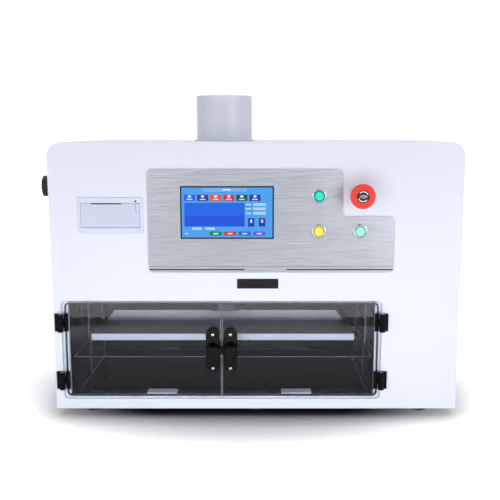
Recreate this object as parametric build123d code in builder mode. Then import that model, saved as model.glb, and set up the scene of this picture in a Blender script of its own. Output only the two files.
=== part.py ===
from build123d import *
import os
from math import pi

# A benchtop press that squeezes packages between two platens, behind two clear doors.
# Millimetres, +Z up, the front faces -Y. The floor under the feet is Z 0, and the origin is
# under the middle of the whole machine's box.

os.makedirs("parts", exist_ok=True)

# Cabinet
cab_w = 680
cab_h = 450
cab_d = 380
skin = 1.5
cab_corner_r = 25
rear_flange_w = 16
foot_h = 14
foot_top_d = 32
foot_bottom_d = 26
foot_pitch_x = 285
foot_inset_y = 40
base_t = 7

# Roof tube
tube_d = 100
tube_wall = 3
tube_rise = 81
tube_flange_w = 4
tube_flange_t = 3

# Chamber, measured from the chamber's own centre line
ram_offset_x = 58
ram_depth = 170
opening_w = 522
opening_h = 157.5
opening_low = 23.7
opening_r = 5
recess_margin_x = 8
recess_margin_z = 6.5
recess_r = 8
recess_d = 6
liner_t = 1.5
liner_depth = 322
liner_top = 205
floor_t = 3
sill_depth = 29
strip_t = 2.5
strip_w = 52
strip_depths = (112, 240)
back_panel_t = 1.5
back_panel_margin = 9
back_panel_lift = 11
back_panel_r = 7

# Splash tray
tray_w = 514
tray_front = 31
tray_h = 72
tray_wall = 4
pad_w = 51
pad_t = 1.5
pad_x = (-103, 127)
stop_w = 61
stop_h = 4
stop_x = 137

# Doors and hinges
door_t = 5
door_gap = 1
door_split = 1.5
hinge_h = 30
hinge_high = 151
hinge_low = 51
hinge_knuckle_r = 5
hinge_pin_r = 2
hinge_proud = 7
hinge_leaf_t = 4
hinge_leaf_w = 10
hinge_door_leaf_w = 12

# Latch pair
latch_w = 23
latch_h = 76
latch_t = 5
latch_mid = 104.5
latch_from_split = 14.75
latch_boss_d = 21
latch_boss_t = 8
latch_bar_h = 10
turn_knob_d = 20
turn_knob_t = 10
turn_ridge_w = 6
turn_ridge_t = 6
pull_d = 22
pull_proud = 23
bolt_w = 6
bolt_t = 4
bolt_len = 11.5
bolt_throw = 8

# Ram and platens
platen_w = 459
platen_d = 250
platen_t = 12
platen_top = 119.3
beam_w = 440
beam_slope = 14
beam_h = 19
beam_d = 54
cell_d = 79
cell_t = 20
cell_hub_d = 40
cell_hub_t = 8
screw_d = 28
screw_top = 470
guide_d = 20
guide_x = 150
guide_depth = 235
guide_top = 345

# Load frame and drive
post_t = 16
post_w = 50
post_depths = (45, 245)
crosshead_low = 212
crosshead_t = 16
bolt_d = 8
bolt_head_d = 13
bolt_head_h = 8
nut_d = 38
housing_d = 84
housing_h = 50
housing_flange_d = 110
housing_flange_t = 10
bearing_d = 62
bearing_t = 14
pulley_gap = 3
pulley_h = 22
nut_pulley_d = 80
motor_pulley_d = 40
pulley_tooth = 5.2
belt_tooth_w = 2.6
belt_tooth_h = 1.2
motor_offset_x = 170
motor_w = 86
motor_h = 46
motor_pilot_d = 73
motor_shaft_d = 14
belt_t = 3
belt_w = 18

# Control plate
plate_t = 2
plate_left = -178
plate_right = 228
plate_low = 236
plate_high = 407
notch_x = 142
notch_z = 329.5
plate_r = 9
screen_w = 153
screen_h = 86.7
screen_x = -47.5
screen_z = 336
screen_proud = 1
module_margin = 3
module_d = 28

# Buttons
button_left_x = 103
button_right_x = 171
button_low_z = 305
button_high_z = 363
button_bezel_d = 25
button_bezel_t = 3
button_body_d = 22
button_body_len = 38
button_cap_d = 16
button_cap_len = 16
button_cap_proud = 1.6
button_travel = 3
estop_x = 170
estop_z = 365
estop_head_d = 40
estop_proud = 38
estop_body_d = 22
estop_collar_d = 30
estop_collar_t = 3
estop_stem_d = 14
estop_travel = 4
estop_head_len = 22

# Panel printer
printer_x = -239
printer_z = 331
printer_w = 108
printer_h = 60
printer_proud = 2
printer_flange_t = 4
printer_body_w = 102
printer_body_h = 54
printer_body_d = 50
printer_wall = 2
printer_door_w = 97
printer_door_h = 40
printer_door_t = 3
printer_door_low = 10
printer_pin_r = 0.9
lever_w = 6.4
lever_h = 13
roll_d = 34
roll_w = 57
roll_core_d = 12
roll_behind = 8
roll_drop = 2
roll_stub = 6

# Small plates, side knob and mains inlet
nameplate_w = 68.5
nameplate_h = 16.3
nameplate_t = 1
nameplate_x = 2.6
nameplate_z = 217
knob_d = 36
knob_reach = 28
knob_len = 24
knob_flutes = 18
knob_flute_r = 1.6
knob_depth = 80
knob_z = 374
knob_shaft_d = 6
inlet_reach = 3
inlet_w = 50
inlet_h = 62
inlet_x = 240
inlet_z = 70
inlet_body_w = 28
inlet_body_h = 48
inlet_body_d = 32
socket_w = 24
socket_h = 17
socket_d = 20
socket_offset_z = -11
rocker_w = 14
rocker_h = 20
rocker_offset_z = 12

# Clearances
running = 0.05
clear = 0.3
guide_clear = 3

# The reference lines that every piece is placed from
cab_x = knob_reach / 2
cab_y = (estop_proud - inlet_reach) / 2
front_y = cab_y - cab_d / 2
rear_y = cab_y + cab_d / 2
left_x = cab_x - cab_w / 2
base_z = foot_h
ram_x = cab_x - ram_offset_x
ram_y = front_y + ram_depth
base_top = base_z + base_t
opening_z = base_z + opening_low + opening_h / 2
opening_bottom = base_z + opening_low
lip_back = recess_d + skin
floor_top = base_top + floor_t
recess_w = opening_w + 2 * recess_margin_x
recess_h = opening_h + 2 * recess_margin_z
liner_half = opening_w / 2
crosshead_z = base_z + crosshead_low
crosshead_top = crosshead_z + crosshead_t
housing_top = crosshead_top + housing_h
pulley_z = housing_top + pulley_gap
platen_z = base_z + platen_top
beam_top = platen_z + beam_h
cell_top = beam_top + cell_t + cell_hub_t
hinge_offset = recess_w / 2
nut_hole_d = nut_d + 2 * clear


def front(depth):
    """A plane that faces the viewer, this far behind the cabinet's front face."""
    return Plane.XZ.offset(-(front_y + depth))


def write(piece, name):
    piece.part.label = name
    export_step(piece.part, f"parts/{name}.step")


def foot_places():
    rows = (front_y + foot_inset_y, rear_y - foot_inset_y)
    columns = (-foot_pitch_x, 0, foot_pitch_x)
    return [(cab_x + x, y) for x in columns for y in rows]


def post_places():
    side = liner_half + liner_t + post_t / 2
    return [
        (ram_x + sign * side, front_y + depth + post_w / 2)
        for sign in (-1, 1)
        for depth in post_depths
    ]


def button_places():
    return {
        "test": (cab_x + button_left_x, base_z + button_high_z),
        "standby": (cab_x + button_left_x, base_z + button_low_z),
        "power": (cab_x + button_right_x, base_z + button_low_z),
    }


# Base plate, with tapped holes for the feet and the load frame's posts standing on it
foot_screw_d = 6
with BuildPart() as base_plate:
    with BuildSketch(Plane.XY.offset(base_z)):
        with Locations((cab_x, cab_y)):
            Rectangle(cab_w - 2 * skin, cab_d - 2 * skin)
        with Locations(foot_places()):
            Circle(foot_screw_d / 2 + running, mode=Mode.SUBTRACT)
    extrude(amount=base_t)
write(base_plate, "base_plate")

# Rubber feet, each a cone with a rounded rim and a pocket for its screw
foot_screw_head_d = 11
foot_screw_head_h = 4
foot_pocket = 6
with BuildPart() as rubber_feet:
    for x, y in foot_places():
        with BuildSketch(Plane.XY.offset(base_z)):
            with Locations((x, y)):
                Circle(foot_top_d / 2)
        with BuildSketch():
            with Locations((x, y)):
                Circle(foot_bottom_d / 2)
        loft()
    fillet(rubber_feet.edges().group_by(Axis.Z)[0], radius=1.5)
    with Locations([(x, y, 0) for x, y in foot_places()]):
        Cylinder(
            foot_screw_head_d / 2 + 1,
            foot_pocket,
            align=(Align.CENTER, Align.CENTER, Align.MIN),
            mode=Mode.SUBTRACT,
        )
        Cylinder(
            foot_screw_d / 2 + running,
            foot_h,
            align=(Align.CENTER, Align.CENTER, Align.MIN),
            mode=Mode.SUBTRACT,
        )
write(rubber_feet, "rubber_feet")

# Frame bolts: foot screws, crosshead screws and the two screw heads under the front edge
bolt_depth_in_post = 18
lug_d = 10
lug_h = 3
lug_x = 262
lug_depth = 12
with BuildPart() as frame_bolts:
    for x, y in foot_places():
        with BuildSketch(Plane.XY.offset(foot_pocket)):
            with Locations((x, y)):
                Circle(foot_screw_head_d / 2)
        extrude(amount=-foot_screw_head_h)
        with BuildSketch(Plane.XY.offset(foot_pocket)):
            with Locations((x, y)):
                Circle(foot_screw_d / 2)
        extrude(amount=base_top - foot_pocket)
    for x, y in post_places():
        for turn in (-1, 1):
            with BuildSketch(Plane.XY.offset(crosshead_top)):
                with Locations((x, y + turn * post_w / 4)):
                    Circle(bolt_head_d / 2)
            extrude(amount=bolt_head_h)
            with BuildSketch(Plane.XY.offset(crosshead_top)):
                with Locations((x, y + turn * post_w / 4)):
                    Circle(bolt_d / 2)
            extrude(amount=-(crosshead_t + bolt_depth_in_post))
    for sign in (-1, 1):
        with BuildSketch(Plane.XY.offset(base_z)):
            with Locations((ram_x + sign * lug_x, front_y + lug_depth)):
                Circle(lug_d / 2)
        extrude(amount=-lug_h)
write(frame_bolts, "frame_bolts")


def cabinet_outline(inset, low):
    """The cabinet's front outline, square below and round above, pulled in by inset."""
    high = base_z + cab_h - inset
    with BuildSketch() as outline:
        with Locations((cab_x, (low + high) / 2)):
            Rectangle(cab_w - 2 * inset, high - low)
        fillet(outline.vertices().group_by(Axis.Y)[-1], radius=cab_corner_r - inset)
    return outline.sketch


# Cabinet shell: roof, sides and front in one, open below and behind
with BuildPart() as cabinet_shell:
    with BuildSketch(front(0)):
        add(cabinet_outline(0, base_z))
    extrude(amount=-cab_d)
    with BuildSketch(front(skin)):
        add(cabinet_outline(skin, base_z))
    extrude(amount=-cab_d, mode=Mode.SUBTRACT)
    # Rear flange that the rear panel is screwed to
    with BuildSketch(front(cab_d - 2 * skin)):
        add(cabinet_outline(skin, base_top))
        add(cabinet_outline(rear_flange_w, base_top), mode=Mode.SUBTRACT)
    extrude(amount=-skin)
    # Recess that the doors close into, with its lip round the chamber opening
    with BuildSketch(front(0)):
        with Locations((ram_x, opening_z)):
            RectangleRounded(recess_w + 2 * skin, recess_h + 2 * skin, recess_r + skin)
    extrude(amount=-lip_back)
    with BuildSketch(front(0)):
        with Locations((ram_x, opening_z)):
            RectangleRounded(recess_w, recess_h, recess_r)
    extrude(amount=-recess_d, mode=Mode.SUBTRACT)
    with BuildSketch(front(0)):
        with Locations((ram_x, opening_z)):
            RectangleRounded(opening_w, opening_h, opening_r)
    extrude(amount=-lip_back, mode=Mode.SUBTRACT)
    # Cut-outs for what is fitted in the front
    with BuildSketch(front(0)):
        with Locations((cab_x + screen_x, base_z + screen_z)):
            Rectangle(screen_w - 2 * module_margin, screen_h - 2 * module_margin)
        with Locations((cab_x + printer_x, base_z + printer_z)):
            Rectangle(printer_body_w, printer_body_h)
        with Locations(list(button_places().values())):
            Circle(button_body_d / 2 + running)
        with Locations((cab_x + estop_x, base_z + estop_z)):
            Circle(estop_body_d / 2 + running)
    extrude(amount=-skin, mode=Mode.SUBTRACT)
    # Hole for the screw under the roof tube, and for the side knob's shaft
    with BuildSketch(Plane.XY.offset(base_z + cab_h)):
        with Locations((ram_x, ram_y)):
            Circle(tube_d / 2 - tube_wall)
    extrude(amount=-skin, mode=Mode.SUBTRACT)
    with BuildSketch(Plane.YZ.offset(left_x)):
        with Locations((front_y + knob_depth, base_z + knob_z)):
            Circle(knob_shaft_d / 2 + 1)
    extrude(amount=skin, mode=Mode.SUBTRACT)
write(cabinet_shell, "cabinet_shell")

# Rear panel with rows of vent louvres and the mains cut-out
vent_w = 60
vent_h = 4
vent_rows = 8
vent_pitch = 12
vent_x = 150
vent_z = 330
with BuildPart() as rear_panel:
    with BuildSketch(front(cab_d - skin)):
        add(cabinet_outline(skin, base_top))
    extrude(amount=-skin)
    with BuildSketch(front(cab_d - skin)):
        for sign in (-1, 1):
            with Locations((cab_x + sign * vent_x, base_z + vent_z)):
                with GridLocations(vent_w, vent_pitch, 1, vent_rows):
                    SlotOverall(vent_w, vent_h)
        with Locations((cab_x + inlet_x, base_z + inlet_z)):
            Rectangle(inlet_body_w, inlet_body_h)
    extrude(amount=-skin, mode=Mode.SUBTRACT)
write(rear_panel, "rear_panel")

# Roof tube: a closed tube on a thin flange
roof_z = base_z + cab_h
with BuildPart() as tube_cover:
    with BuildSketch(Plane.XY.offset(roof_z)):
        with Locations((ram_x, ram_y)):
            Circle(tube_d / 2 + tube_flange_w)
    extrude(amount=tube_flange_t)
    with BuildSketch(Plane.XY.offset(roof_z)):
        with Locations((ram_x, ram_y)):
            Circle(tube_d / 2)
    extrude(amount=tube_rise)
    fillet(tube_cover.edges().group_by(Axis.Z)[-1], radius=2)
    with BuildSketch(Plane.XY.offset(roof_z)):
        with Locations((ram_x, ram_y)):
            Circle(tube_d / 2 - tube_wall)
    extrude(amount=tube_rise - tube_wall, mode=Mode.SUBTRACT)
write(tube_cover, "tube_cover")

# Chamber liner: two sides, a back and a roof, standing on the base plate
liner_len = liner_depth - lip_back
with BuildPart() as chamber_liner:
    liner_high = base_z + liner_top - base_top
    with BuildSketch(front(lip_back)):
        with Locations((ram_x, base_top + (liner_high + liner_t) / 2)):
            Rectangle(opening_w + 2 * liner_t, liner_high + liner_t)
    extrude(amount=-(liner_len + liner_t))
    with BuildSketch(front(lip_back)):
        with Locations((ram_x, base_top + liner_high / 2)):
            Rectangle(opening_w, liner_high)
    extrude(amount=-liner_len, mode=Mode.SUBTRACT)
    with BuildSketch(Plane.XY.offset(base_z + liner_top)):
        with Locations((ram_x, ram_y)):
            Circle(screw_d / 2 + guide_clear)
        for sign in (-1, 1):
            with Locations((ram_x + sign * guide_x, front_y + guide_depth)):
                Circle(guide_d / 2 + guide_clear)
    extrude(amount=liner_t, mode=Mode.SUBTRACT)
write(chamber_liner, "chamber_liner")

# Inner access panel on the chamber's back wall
back_panel_w = opening_w - 2 * back_panel_margin
back_panel_low = floor_top + back_panel_lift
back_panel_high = base_z + liner_top - back_panel_lift
with BuildPart() as chamber_back_panel:
    with BuildSketch(front(liner_depth)):
        with Locations((ram_x, (back_panel_low + back_panel_high) / 2)):
            RectangleRounded(back_panel_w, back_panel_high - back_panel_low, back_panel_r)
    extrude(amount=back_panel_t)
write(chamber_back_panel, "chamber_back_panel")

# Bright upright strips on the side walls
with BuildPart() as wall_strips:
    for sign in (-1, 1):
        for depth in strip_depths:
            with BuildSketch(Plane.XY.offset(floor_top)):
                with Locations((ram_x + sign * (liner_half - strip_t / 2), front_y + depth + strip_w / 2)):
                    Rectangle(strip_t, strip_w)
            extrude(amount=base_z + liner_top - floor_top)
write(wall_strips, "wall_strips")

# Lower platen: the polished floor plate inside the liner
with BuildPart() as lower_platen:
    with BuildSketch(Plane.XY.offset(base_top)):
        with Locations((ram_x, front_y + lip_back + liner_len / 2)):
            Rectangle(opening_w, liner_len)
    extrude(amount=floor_t)
write(lower_platen, "lower_platen")

# Front sill: a folded channel, level with the opening's lower edge
with BuildPart() as front_sill:
    with BuildSketch(Plane.YZ.offset(ram_x)) as sill_section:
        with Locations((front_y + (lip_back + sill_depth) / 2, (floor_top + opening_bottom) / 2)):
            Rectangle(sill_depth - lip_back, opening_bottom - floor_top)
        with Locations((front_y + (lip_back + sill_depth) / 2, (floor_top + opening_bottom - liner_t) / 2)):
            Rectangle(
                sill_depth - lip_back - 2 * liner_t,
                opening_bottom - liner_t - floor_top,
                mode=Mode.SUBTRACT,
            )
    extrude(amount=opening_w / 2, both=True)
write(front_sill, "front_sill")

# Splash tray: a clear open box, bonded from sheet
tray_back = liner_depth - tray_wall - back_panel_t
with BuildPart() as splash_tray:
    with BuildSketch(Plane.XY.offset(floor_top)):
        with Locations((ram_x, front_y + (tray_front + tray_back) / 2)):
            Rectangle(tray_w, tray_back - tray_front)
    extrude(amount=tray_h)
    offset(
        amount=-tray_wall,
        openings=splash_tray.faces().sort_by(Axis.Z)[-1],
        kind=Kind.INTERSECTION,
    )
write(splash_tray, "splash_tray")

# White nylon pads: two on the sill, and two stops between the tray and the back panel
pad_len = 20
with BuildPart() as nylon_pads:
    for x in pad_x:
        with BuildSketch(Plane.XY.offset(opening_bottom)):
            with Locations((ram_x + x, front_y + sill_depth - pad_len / 2)):
                Rectangle(pad_w, pad_len)
        extrude(amount=pad_t)
    for sign in (-1, 1):
        with BuildSketch(Plane.XY.offset(floor_top)):
            with Locations((ram_x + sign * stop_x, front_y + (tray_back + liner_depth) / 2)):
                Rectangle(stop_w, liner_depth - tray_back)
        extrude(amount=stop_h)
write(nylon_pads, "nylon_pads")

# Seal strip round the opening, on the recess lip behind the doors
seal_w = 3
with BuildPart() as door_seal:
    with BuildSketch(front(recess_d)):
        with Locations((ram_x, opening_z)):
            RectangleRounded(opening_w + 2 * seal_w, opening_h + 2 * seal_w, opening_r + seal_w)
            RectangleRounded(opening_w, opening_h, opening_r, mode=Mode.SUBTRACT)
    extrude(amount=recess_d - door_t - clear)
write(door_seal, "door_seal")


# Load frame
with BuildPart() as frame_posts:
    with BuildSketch(Plane.XY.offset(base_top)):
        with Locations(post_places()):
            Rectangle(post_t, post_w)
    extrude(amount=crosshead_z - base_top)
    with BuildSketch(Plane.XY.offset(crosshead_z)):
        with Locations(post_places()):
            with GridLocations(post_t, post_w / 2, 1, 2):
                Circle(bolt_d / 2 + running)
    extrude(amount=-bolt_depth_in_post, mode=Mode.SUBTRACT)
write(frame_posts, "frame_posts")

crosshead_w = opening_w + 2 * liner_t + 2 * post_t
crosshead_front = post_depths[0]
crosshead_back = post_depths[1] + post_w
bushing_d = 30
with BuildPart() as crosshead_plate:
    with BuildSketch(Plane.XY.offset(crosshead_z)):
        with Locations((ram_x, front_y + (crosshead_front + crosshead_back) / 2)):
            Rectangle(crosshead_w, crosshead_back - crosshead_front)
        with Locations((ram_x, ram_y)):
            Circle(nut_hole_d / 2, mode=Mode.SUBTRACT)
        with Locations(post_places()):
            with GridLocations(post_t, post_w / 2, 1, 2):
                Circle(bolt_d / 2 + running, mode=Mode.SUBTRACT)
        for sign in (-1, 1):
            with Locations((ram_x + sign * guide_x, front_y + guide_depth)):
                Circle(bushing_d / 2 + running, mode=Mode.SUBTRACT)
    extrude(amount=crosshead_t)
write(crosshead_plate, "crosshead_plate")

# Flanged bushings for the two guide rods
bushing_flange_d = 44
bushing_flange_t = 5
with BuildPart() as guide_bushings:
    for sign in (-1, 1):
        place = (ram_x + sign * guide_x, front_y + guide_depth)
        with BuildSketch(Plane.XY.offset(crosshead_z)):
            with Locations(place):
                Circle(bushing_d / 2)
        extrude(amount=crosshead_t)
        with BuildSketch(Plane.XY.offset(crosshead_top)):
            with Locations(place):
                Circle(bushing_flange_d / 2)
        extrude(amount=bushing_flange_t)
        with BuildSketch(Plane.XY.offset(crosshead_z)):
            with Locations(place):
                Circle(guide_d / 2 + running)
        extrude(amount=crosshead_t + bushing_flange_t, mode=Mode.SUBTRACT)
write(guide_bushings, "guide_bushings")

# Bearing housing on the crosshead, in section and turned about the ram's axis
ram_section = Plane(origin=(ram_x, ram_y, 0), x_dir=(1, 0, 0), z_dir=(0, -1, 0))
ram_axis = Axis((ram_x, ram_y, 0), (0, 0, 1))
housing_floor = 2
with BuildPart() as nut_housing:
    with BuildSketch(ram_section):
        with BuildLine():
            Polyline(
                (nut_hole_d / 2, crosshead_top),
                (housing_flange_d / 2, crosshead_top),
                (housing_flange_d / 2, crosshead_top + housing_flange_t),
                (housing_d / 2, crosshead_top + housing_flange_t),
                (housing_d / 2, housing_top),
                (bearing_d / 2 + running, housing_top),
                (bearing_d / 2 + running, crosshead_top + housing_floor),
                (nut_hole_d / 2, crosshead_top + housing_floor),
                close=True,
            )
        make_face()
    revolve(axis=ram_axis)
write(nut_housing, "nut_housing")

# Two ball bearings in the housing, drawn as their rings with the shield's groove
groove_w = 4
groove_d = 0.8
bearing_low = (crosshead_top + housing_floor, housing_top - bearing_t)
with BuildPart() as nut_bearings:
    for z in bearing_low:
        with BuildSketch(Plane.XY.offset(z)):
            with Locations((ram_x, ram_y)):
                Circle(bearing_d / 2)
                Circle(nut_d / 2 + running, mode=Mode.SUBTRACT)
        extrude(amount=bearing_t)
        groove_mid = (bearing_d + nut_d) / 4
        with BuildSketch(Plane.XY.offset(z + bearing_t)):
            with Locations((ram_x, ram_y)):
                Circle(groove_mid + groove_w / 2)
                Circle(groove_mid - groove_w / 2, mode=Mode.SUBTRACT)
        extrude(amount=-groove_d, mode=Mode.SUBTRACT)
write(nut_bearings, "nut_bearings")


def toothed_wheel(diameter, z, height):
    """A toothed pulley's outline: round, with a gap for each belt tooth."""
    teeth = round(pi * diameter / pulley_tooth)
    with BuildSketch(Plane.XY.offset(z)) as wheel:
        Circle(diameter / 2)
        with PolarLocations(diameter / 2, teeth):
            Rectangle(2 * belt_tooth_h, belt_tooth_w, mode=Mode.SUBTRACT)
    with BuildPart() as pulley:
        add(wheel.sketch)
        extrude(amount=height)
    return pulley.part


# Drive nut: the nut's sleeve in the bearings, with its toothed pulley on top
pulley_rim = 2
nut_low = crosshead_z + 4
with BuildPart() as drive_nut:
    with Locations((ram_x, ram_y)):
        add(toothed_wheel(nut_pulley_d, pulley_z, pulley_h))
    with BuildSketch(Plane.XY.offset(pulley_z)):
        with Locations((ram_x, ram_y)):
            Circle(nut_pulley_d / 2 + pulley_rim)
    extrude(amount=-pulley_rim)
    with BuildSketch(Plane.XY.offset(nut_low)):
        with Locations((ram_x, ram_y)):
            Circle(nut_d / 2)
    extrude(amount=pulley_z + pulley_h - nut_low)
    with BuildSketch(Plane.XY.offset(nut_low)):
        with Locations((ram_x, ram_y)):
            Circle(screw_d / 2 + running)
    extrude(amount=pulley_z + pulley_h - nut_low, mode=Mode.SUBTRACT)
write(drive_nut, "drive_nut")

# Drive motor on the crosshead, and its shaft with the small pulley
motor_x = ram_x + motor_offset_x
motor_top = crosshead_top + motor_h
motor_pilot_t = 2
motor_corner_r = 8
shaft_in_motor = 20
shaft_end = 3
with BuildPart() as drive_motor:
    with BuildSketch(Plane.XY.offset(crosshead_top)):
        with Locations((motor_x, ram_y)):
            RectangleRounded(motor_w, motor_w, motor_corner_r)
    extrude(amount=motor_h)
    with BuildSketch(Plane.XY.offset(motor_top)):
        with Locations((motor_x, ram_y)):
            Circle(motor_pilot_d / 2)
    extrude(amount=motor_pilot_t)
    with BuildSketch(Plane.XY.offset(motor_top + motor_pilot_t)):
        with Locations((motor_x, ram_y)):
            Circle(motor_shaft_d / 2 + running)
    extrude(amount=-shaft_in_motor, mode=Mode.SUBTRACT)
write(drive_motor, "drive_motor")

shaft_low = motor_top + motor_pilot_t - shaft_in_motor + 1
with BuildPart() as motor_pulley:
    with Locations((motor_x, ram_y)):
        add(toothed_wheel(motor_pulley_d, pulley_z, pulley_h))
    with BuildSketch(Plane.XY.offset(pulley_z)):
        with Locations((motor_x, ram_y)):
            Circle(motor_pulley_d / 2 + pulley_rim)
    extrude(amount=-pulley_rim / 2)
    with BuildSketch(Plane.XY.offset(shaft_low)):
        with Locations((motor_x, ram_y)):
            Circle(motor_shaft_d / 2)
    extrude(amount=pulley_z + pulley_h + shaft_end - shaft_low)
write(motor_pulley, "motor_pulley")


def belt_loop(gap):
    """The outline of a loop that runs this far outside both pulleys."""
    with BuildSketch() as loop:
        with Locations((ram_x, ram_y)):
            Circle(nut_pulley_d / 2 + gap)
        with Locations((motor_x, ram_y)):
            Circle(motor_pulley_d / 2 + gap)
        make_hull()
    return loop.sketch


with BuildPart() as drive_belt:
    with BuildSketch(Plane.XY.offset(pulley_z + (pulley_h - belt_w) / 2)):
        add(belt_loop(clear + belt_t))
        add(belt_loop(clear), mode=Mode.SUBTRACT)
    extrude(amount=belt_w)
write(drive_belt, "drive_belt")

# Controller board on standoffs, on the crosshead
board_w = 120
board_d = 90
board_t = 1.6
standoff_h = 10
standoff_r = 3
standoff_inset = 5
block_w = 18
block_d = 14
block_h = 6
block_pitch_x = 32
block_pitch_y = 30
board_x = ram_x - 195
board_y = front_y + 150
with BuildPart() as controller_board:
    with BuildSketch(Plane.XY.offset(crosshead_top)):
        with Locations((board_x, board_y)):
            with GridLocations(board_w - 2 * standoff_inset, board_d - 2 * standoff_inset, 2, 2):
                Circle(standoff_r)
    extrude(amount=standoff_h)
    with BuildSketch(Plane.XY.offset(crosshead_top + standoff_h)):
        with Locations((board_x, board_y)):
            Rectangle(board_w, board_d)
    extrude(amount=board_t)
    with BuildSketch(Plane.XY.offset(crosshead_top + standoff_h + board_t)):
        with Locations((board_x, board_y)):
            with GridLocations(block_pitch_x, block_pitch_y, 3, 2):
                Rectangle(block_w, block_d)
    extrude(amount=block_h)
write(controller_board, "controller_board")

# Power supply on the base plate, in the bay beside the chamber
supply_w = 98
supply_d = 180
supply_h = 50
supply_x = cab_x + 280
supply_y = rear_y - 130
supply_slot_len = 8
supply_slot_w = 3
supply_slot_d = 2
supply_pitch_x = 12
supply_pitch_y = 10
with BuildPart() as power_supply:
    with BuildSketch(Plane.XY.offset(base_top)):
        with Locations((supply_x, supply_y)):
            Rectangle(supply_w, supply_d)
    extrude(amount=supply_h)
    with BuildSketch(Plane.XY.offset(base_top + supply_h)):
        with Locations((supply_x, supply_y)):
            with GridLocations(supply_pitch_x, supply_pitch_y, 5, 9):
                SlotOverall(supply_slot_len, supply_slot_w)
    extrude(amount=-supply_slot_d, mode=Mode.SUBTRACT)
write(power_supply, "power_supply")


# Control plate: an L with rounded corners, on the cabinet's front
with BuildPart() as control_plate:
    with BuildSketch(front(0)) as plate_outline:
        with BuildLine():
            Polyline(
                (cab_x + plate_left, base_z + plate_low),
                (cab_x + plate_right, base_z + plate_low),
                (cab_x + plate_right, base_z + notch_z),
                (cab_x + notch_x, base_z + notch_z),
                (cab_x + notch_x, base_z + plate_high),
                (cab_x + plate_left, base_z + plate_high),
                close=True,
            )
        make_face()
        fillet(plate_outline.vertices(), radius=plate_r)
        with Locations((cab_x + screen_x, base_z + screen_z)):
            Rectangle(
                screen_w - 2 * module_margin, screen_h - 2 * module_margin, mode=Mode.SUBTRACT
            )
        with Locations(list(button_places().values())):
            Circle(button_body_d / 2 + running, mode=Mode.SUBTRACT)
    extrude(amount=plate_t)
write(control_plate, "control_plate")

# Display module: a thin frame on the plate, its glass set in, and its body behind
glass_set = 0.4
screen_border = 2.2
with BuildPart() as display_module:
    with BuildSketch(front(-plate_t)):
        with Locations((cab_x + screen_x, base_z + screen_z)):
            RectangleRounded(screen_w, screen_h, 1)
    extrude(amount=screen_proud)
    with BuildSketch(front(-plate_t)):
        with Locations((cab_x + screen_x, base_z + screen_z)):
            Rectangle(screen_w - 2 * module_margin, screen_h - 2 * module_margin)
    extrude(amount=-(module_d + plate_t))
    with BuildSketch(front(-plate_t - screen_proud)):
        with Locations((cab_x + screen_x, base_z + screen_z)):
            Rectangle(screen_w - 2 * screen_border, screen_h - 2 * screen_border)
    extrude(amount=-glass_set, mode=Mode.SUBTRACT)
write(display_module, "display_module")

# Push buttons: chrome bezels, black barrels with a nut behind the panel, and sprung caps
cap_hole_d = button_cap_d + 2 * running
with BuildPart() as button_bezels:
    for x, z in button_places().values():
        with BuildSketch(front(-plate_t)):
            with Locations((x, z)):
                Circle(button_bezel_d / 2)
        extrude(amount=button_bezel_t)
    chamfer(button_bezels.edges().group_by(Axis.Y)[0], length=1.2)
    for x, z in button_places().values():
        with BuildSketch(front(-plate_t)):
            with Locations((x, z)):
                Circle(cap_hole_d / 2)
        extrude(amount=button_bezel_t, mode=Mode.SUBTRACT)
write(button_bezels, "button_bezels")

button_nut_d = 28
button_nut_t = 5
cap_pocket = button_cap_len - button_cap_proud - button_bezel_t + button_travel + 1
with BuildPart() as button_barrels:
    for x, z in button_places().values():
        with BuildSketch(front(-plate_t)):
            with Locations((x, z)):
                Circle(button_body_d / 2)
        extrude(amount=-(button_body_len + plate_t))
        with BuildSketch(front(skin)):
            with Locations((x, z)):
                RegularPolygon(button_nut_d / 2, 6)
        extrude(amount=-button_nut_t)
        with BuildSketch(front(-plate_t)):
            with Locations((x, z)):
                Circle(cap_hole_d / 2)
        extrude(amount=-cap_pocket, mode=Mode.SUBTRACT)
write(button_barrels, "button_barrels")

cap_front = plate_t + button_bezel_t + button_cap_proud
for name, (x, z) in button_places().items():
    with BuildPart() as button_cap:
        with BuildSketch(front(-cap_front)):
            with Locations((x, z)):
                Circle(button_cap_d / 2)
        extrude(amount=-button_cap_len)
        fillet(button_cap.edges().group_by(Axis.Y)[0], radius=1.5)
    write(button_cap, f"{name}_button_cap")

# Emergency stop: collar and barrel on the cabinet, a plunger stem, and a mushroom head
stem_inside = 7
stem_in_head = 8
with BuildPart() as estop_barrel:
    with BuildSketch(front(0)):
        with Locations((cab_x + estop_x, base_z + estop_z)):
            Circle(estop_collar_d / 2)
    extrude(amount=estop_collar_t)
    chamfer(estop_barrel.edges().group_by(Axis.Y)[0], length=1)
    with BuildSketch(front(0)):
        with Locations((cab_x + estop_x, base_z + estop_z)):
            Circle(estop_body_d / 2)
    extrude(amount=-button_body_len)
    with BuildSketch(front(-estop_collar_t)):
        with Locations((cab_x + estop_x, base_z + estop_z)):
            Circle(estop_stem_d / 2 + running)
    extrude(amount=-(estop_collar_t + stem_inside + estop_travel + 1), mode=Mode.SUBTRACT)
write(estop_barrel, "estop_barrel")

estop_neck_r = 12
estop_stem_front = estop_proud - estop_head_len + stem_in_head
estop_section = Plane(
    origin=(cab_x + estop_x, front_y, base_z + estop_z), x_dir=(1, 0, 0), z_dir=(0, 0, 1)
)
estop_axis = Axis((cab_x + estop_x, front_y, base_z + estop_z), (0, 1, 0))
head_back = -(estop_proud - estop_head_len)
with BuildPart() as estop_stem:
    with BuildSketch(front(-estop_stem_front)):
        with Locations((cab_x + estop_x, base_z + estop_z)):
            Circle(estop_stem_d / 2)
    extrude(amount=-(estop_stem_front + stem_inside))
write(estop_stem, "estop_stem")

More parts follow.
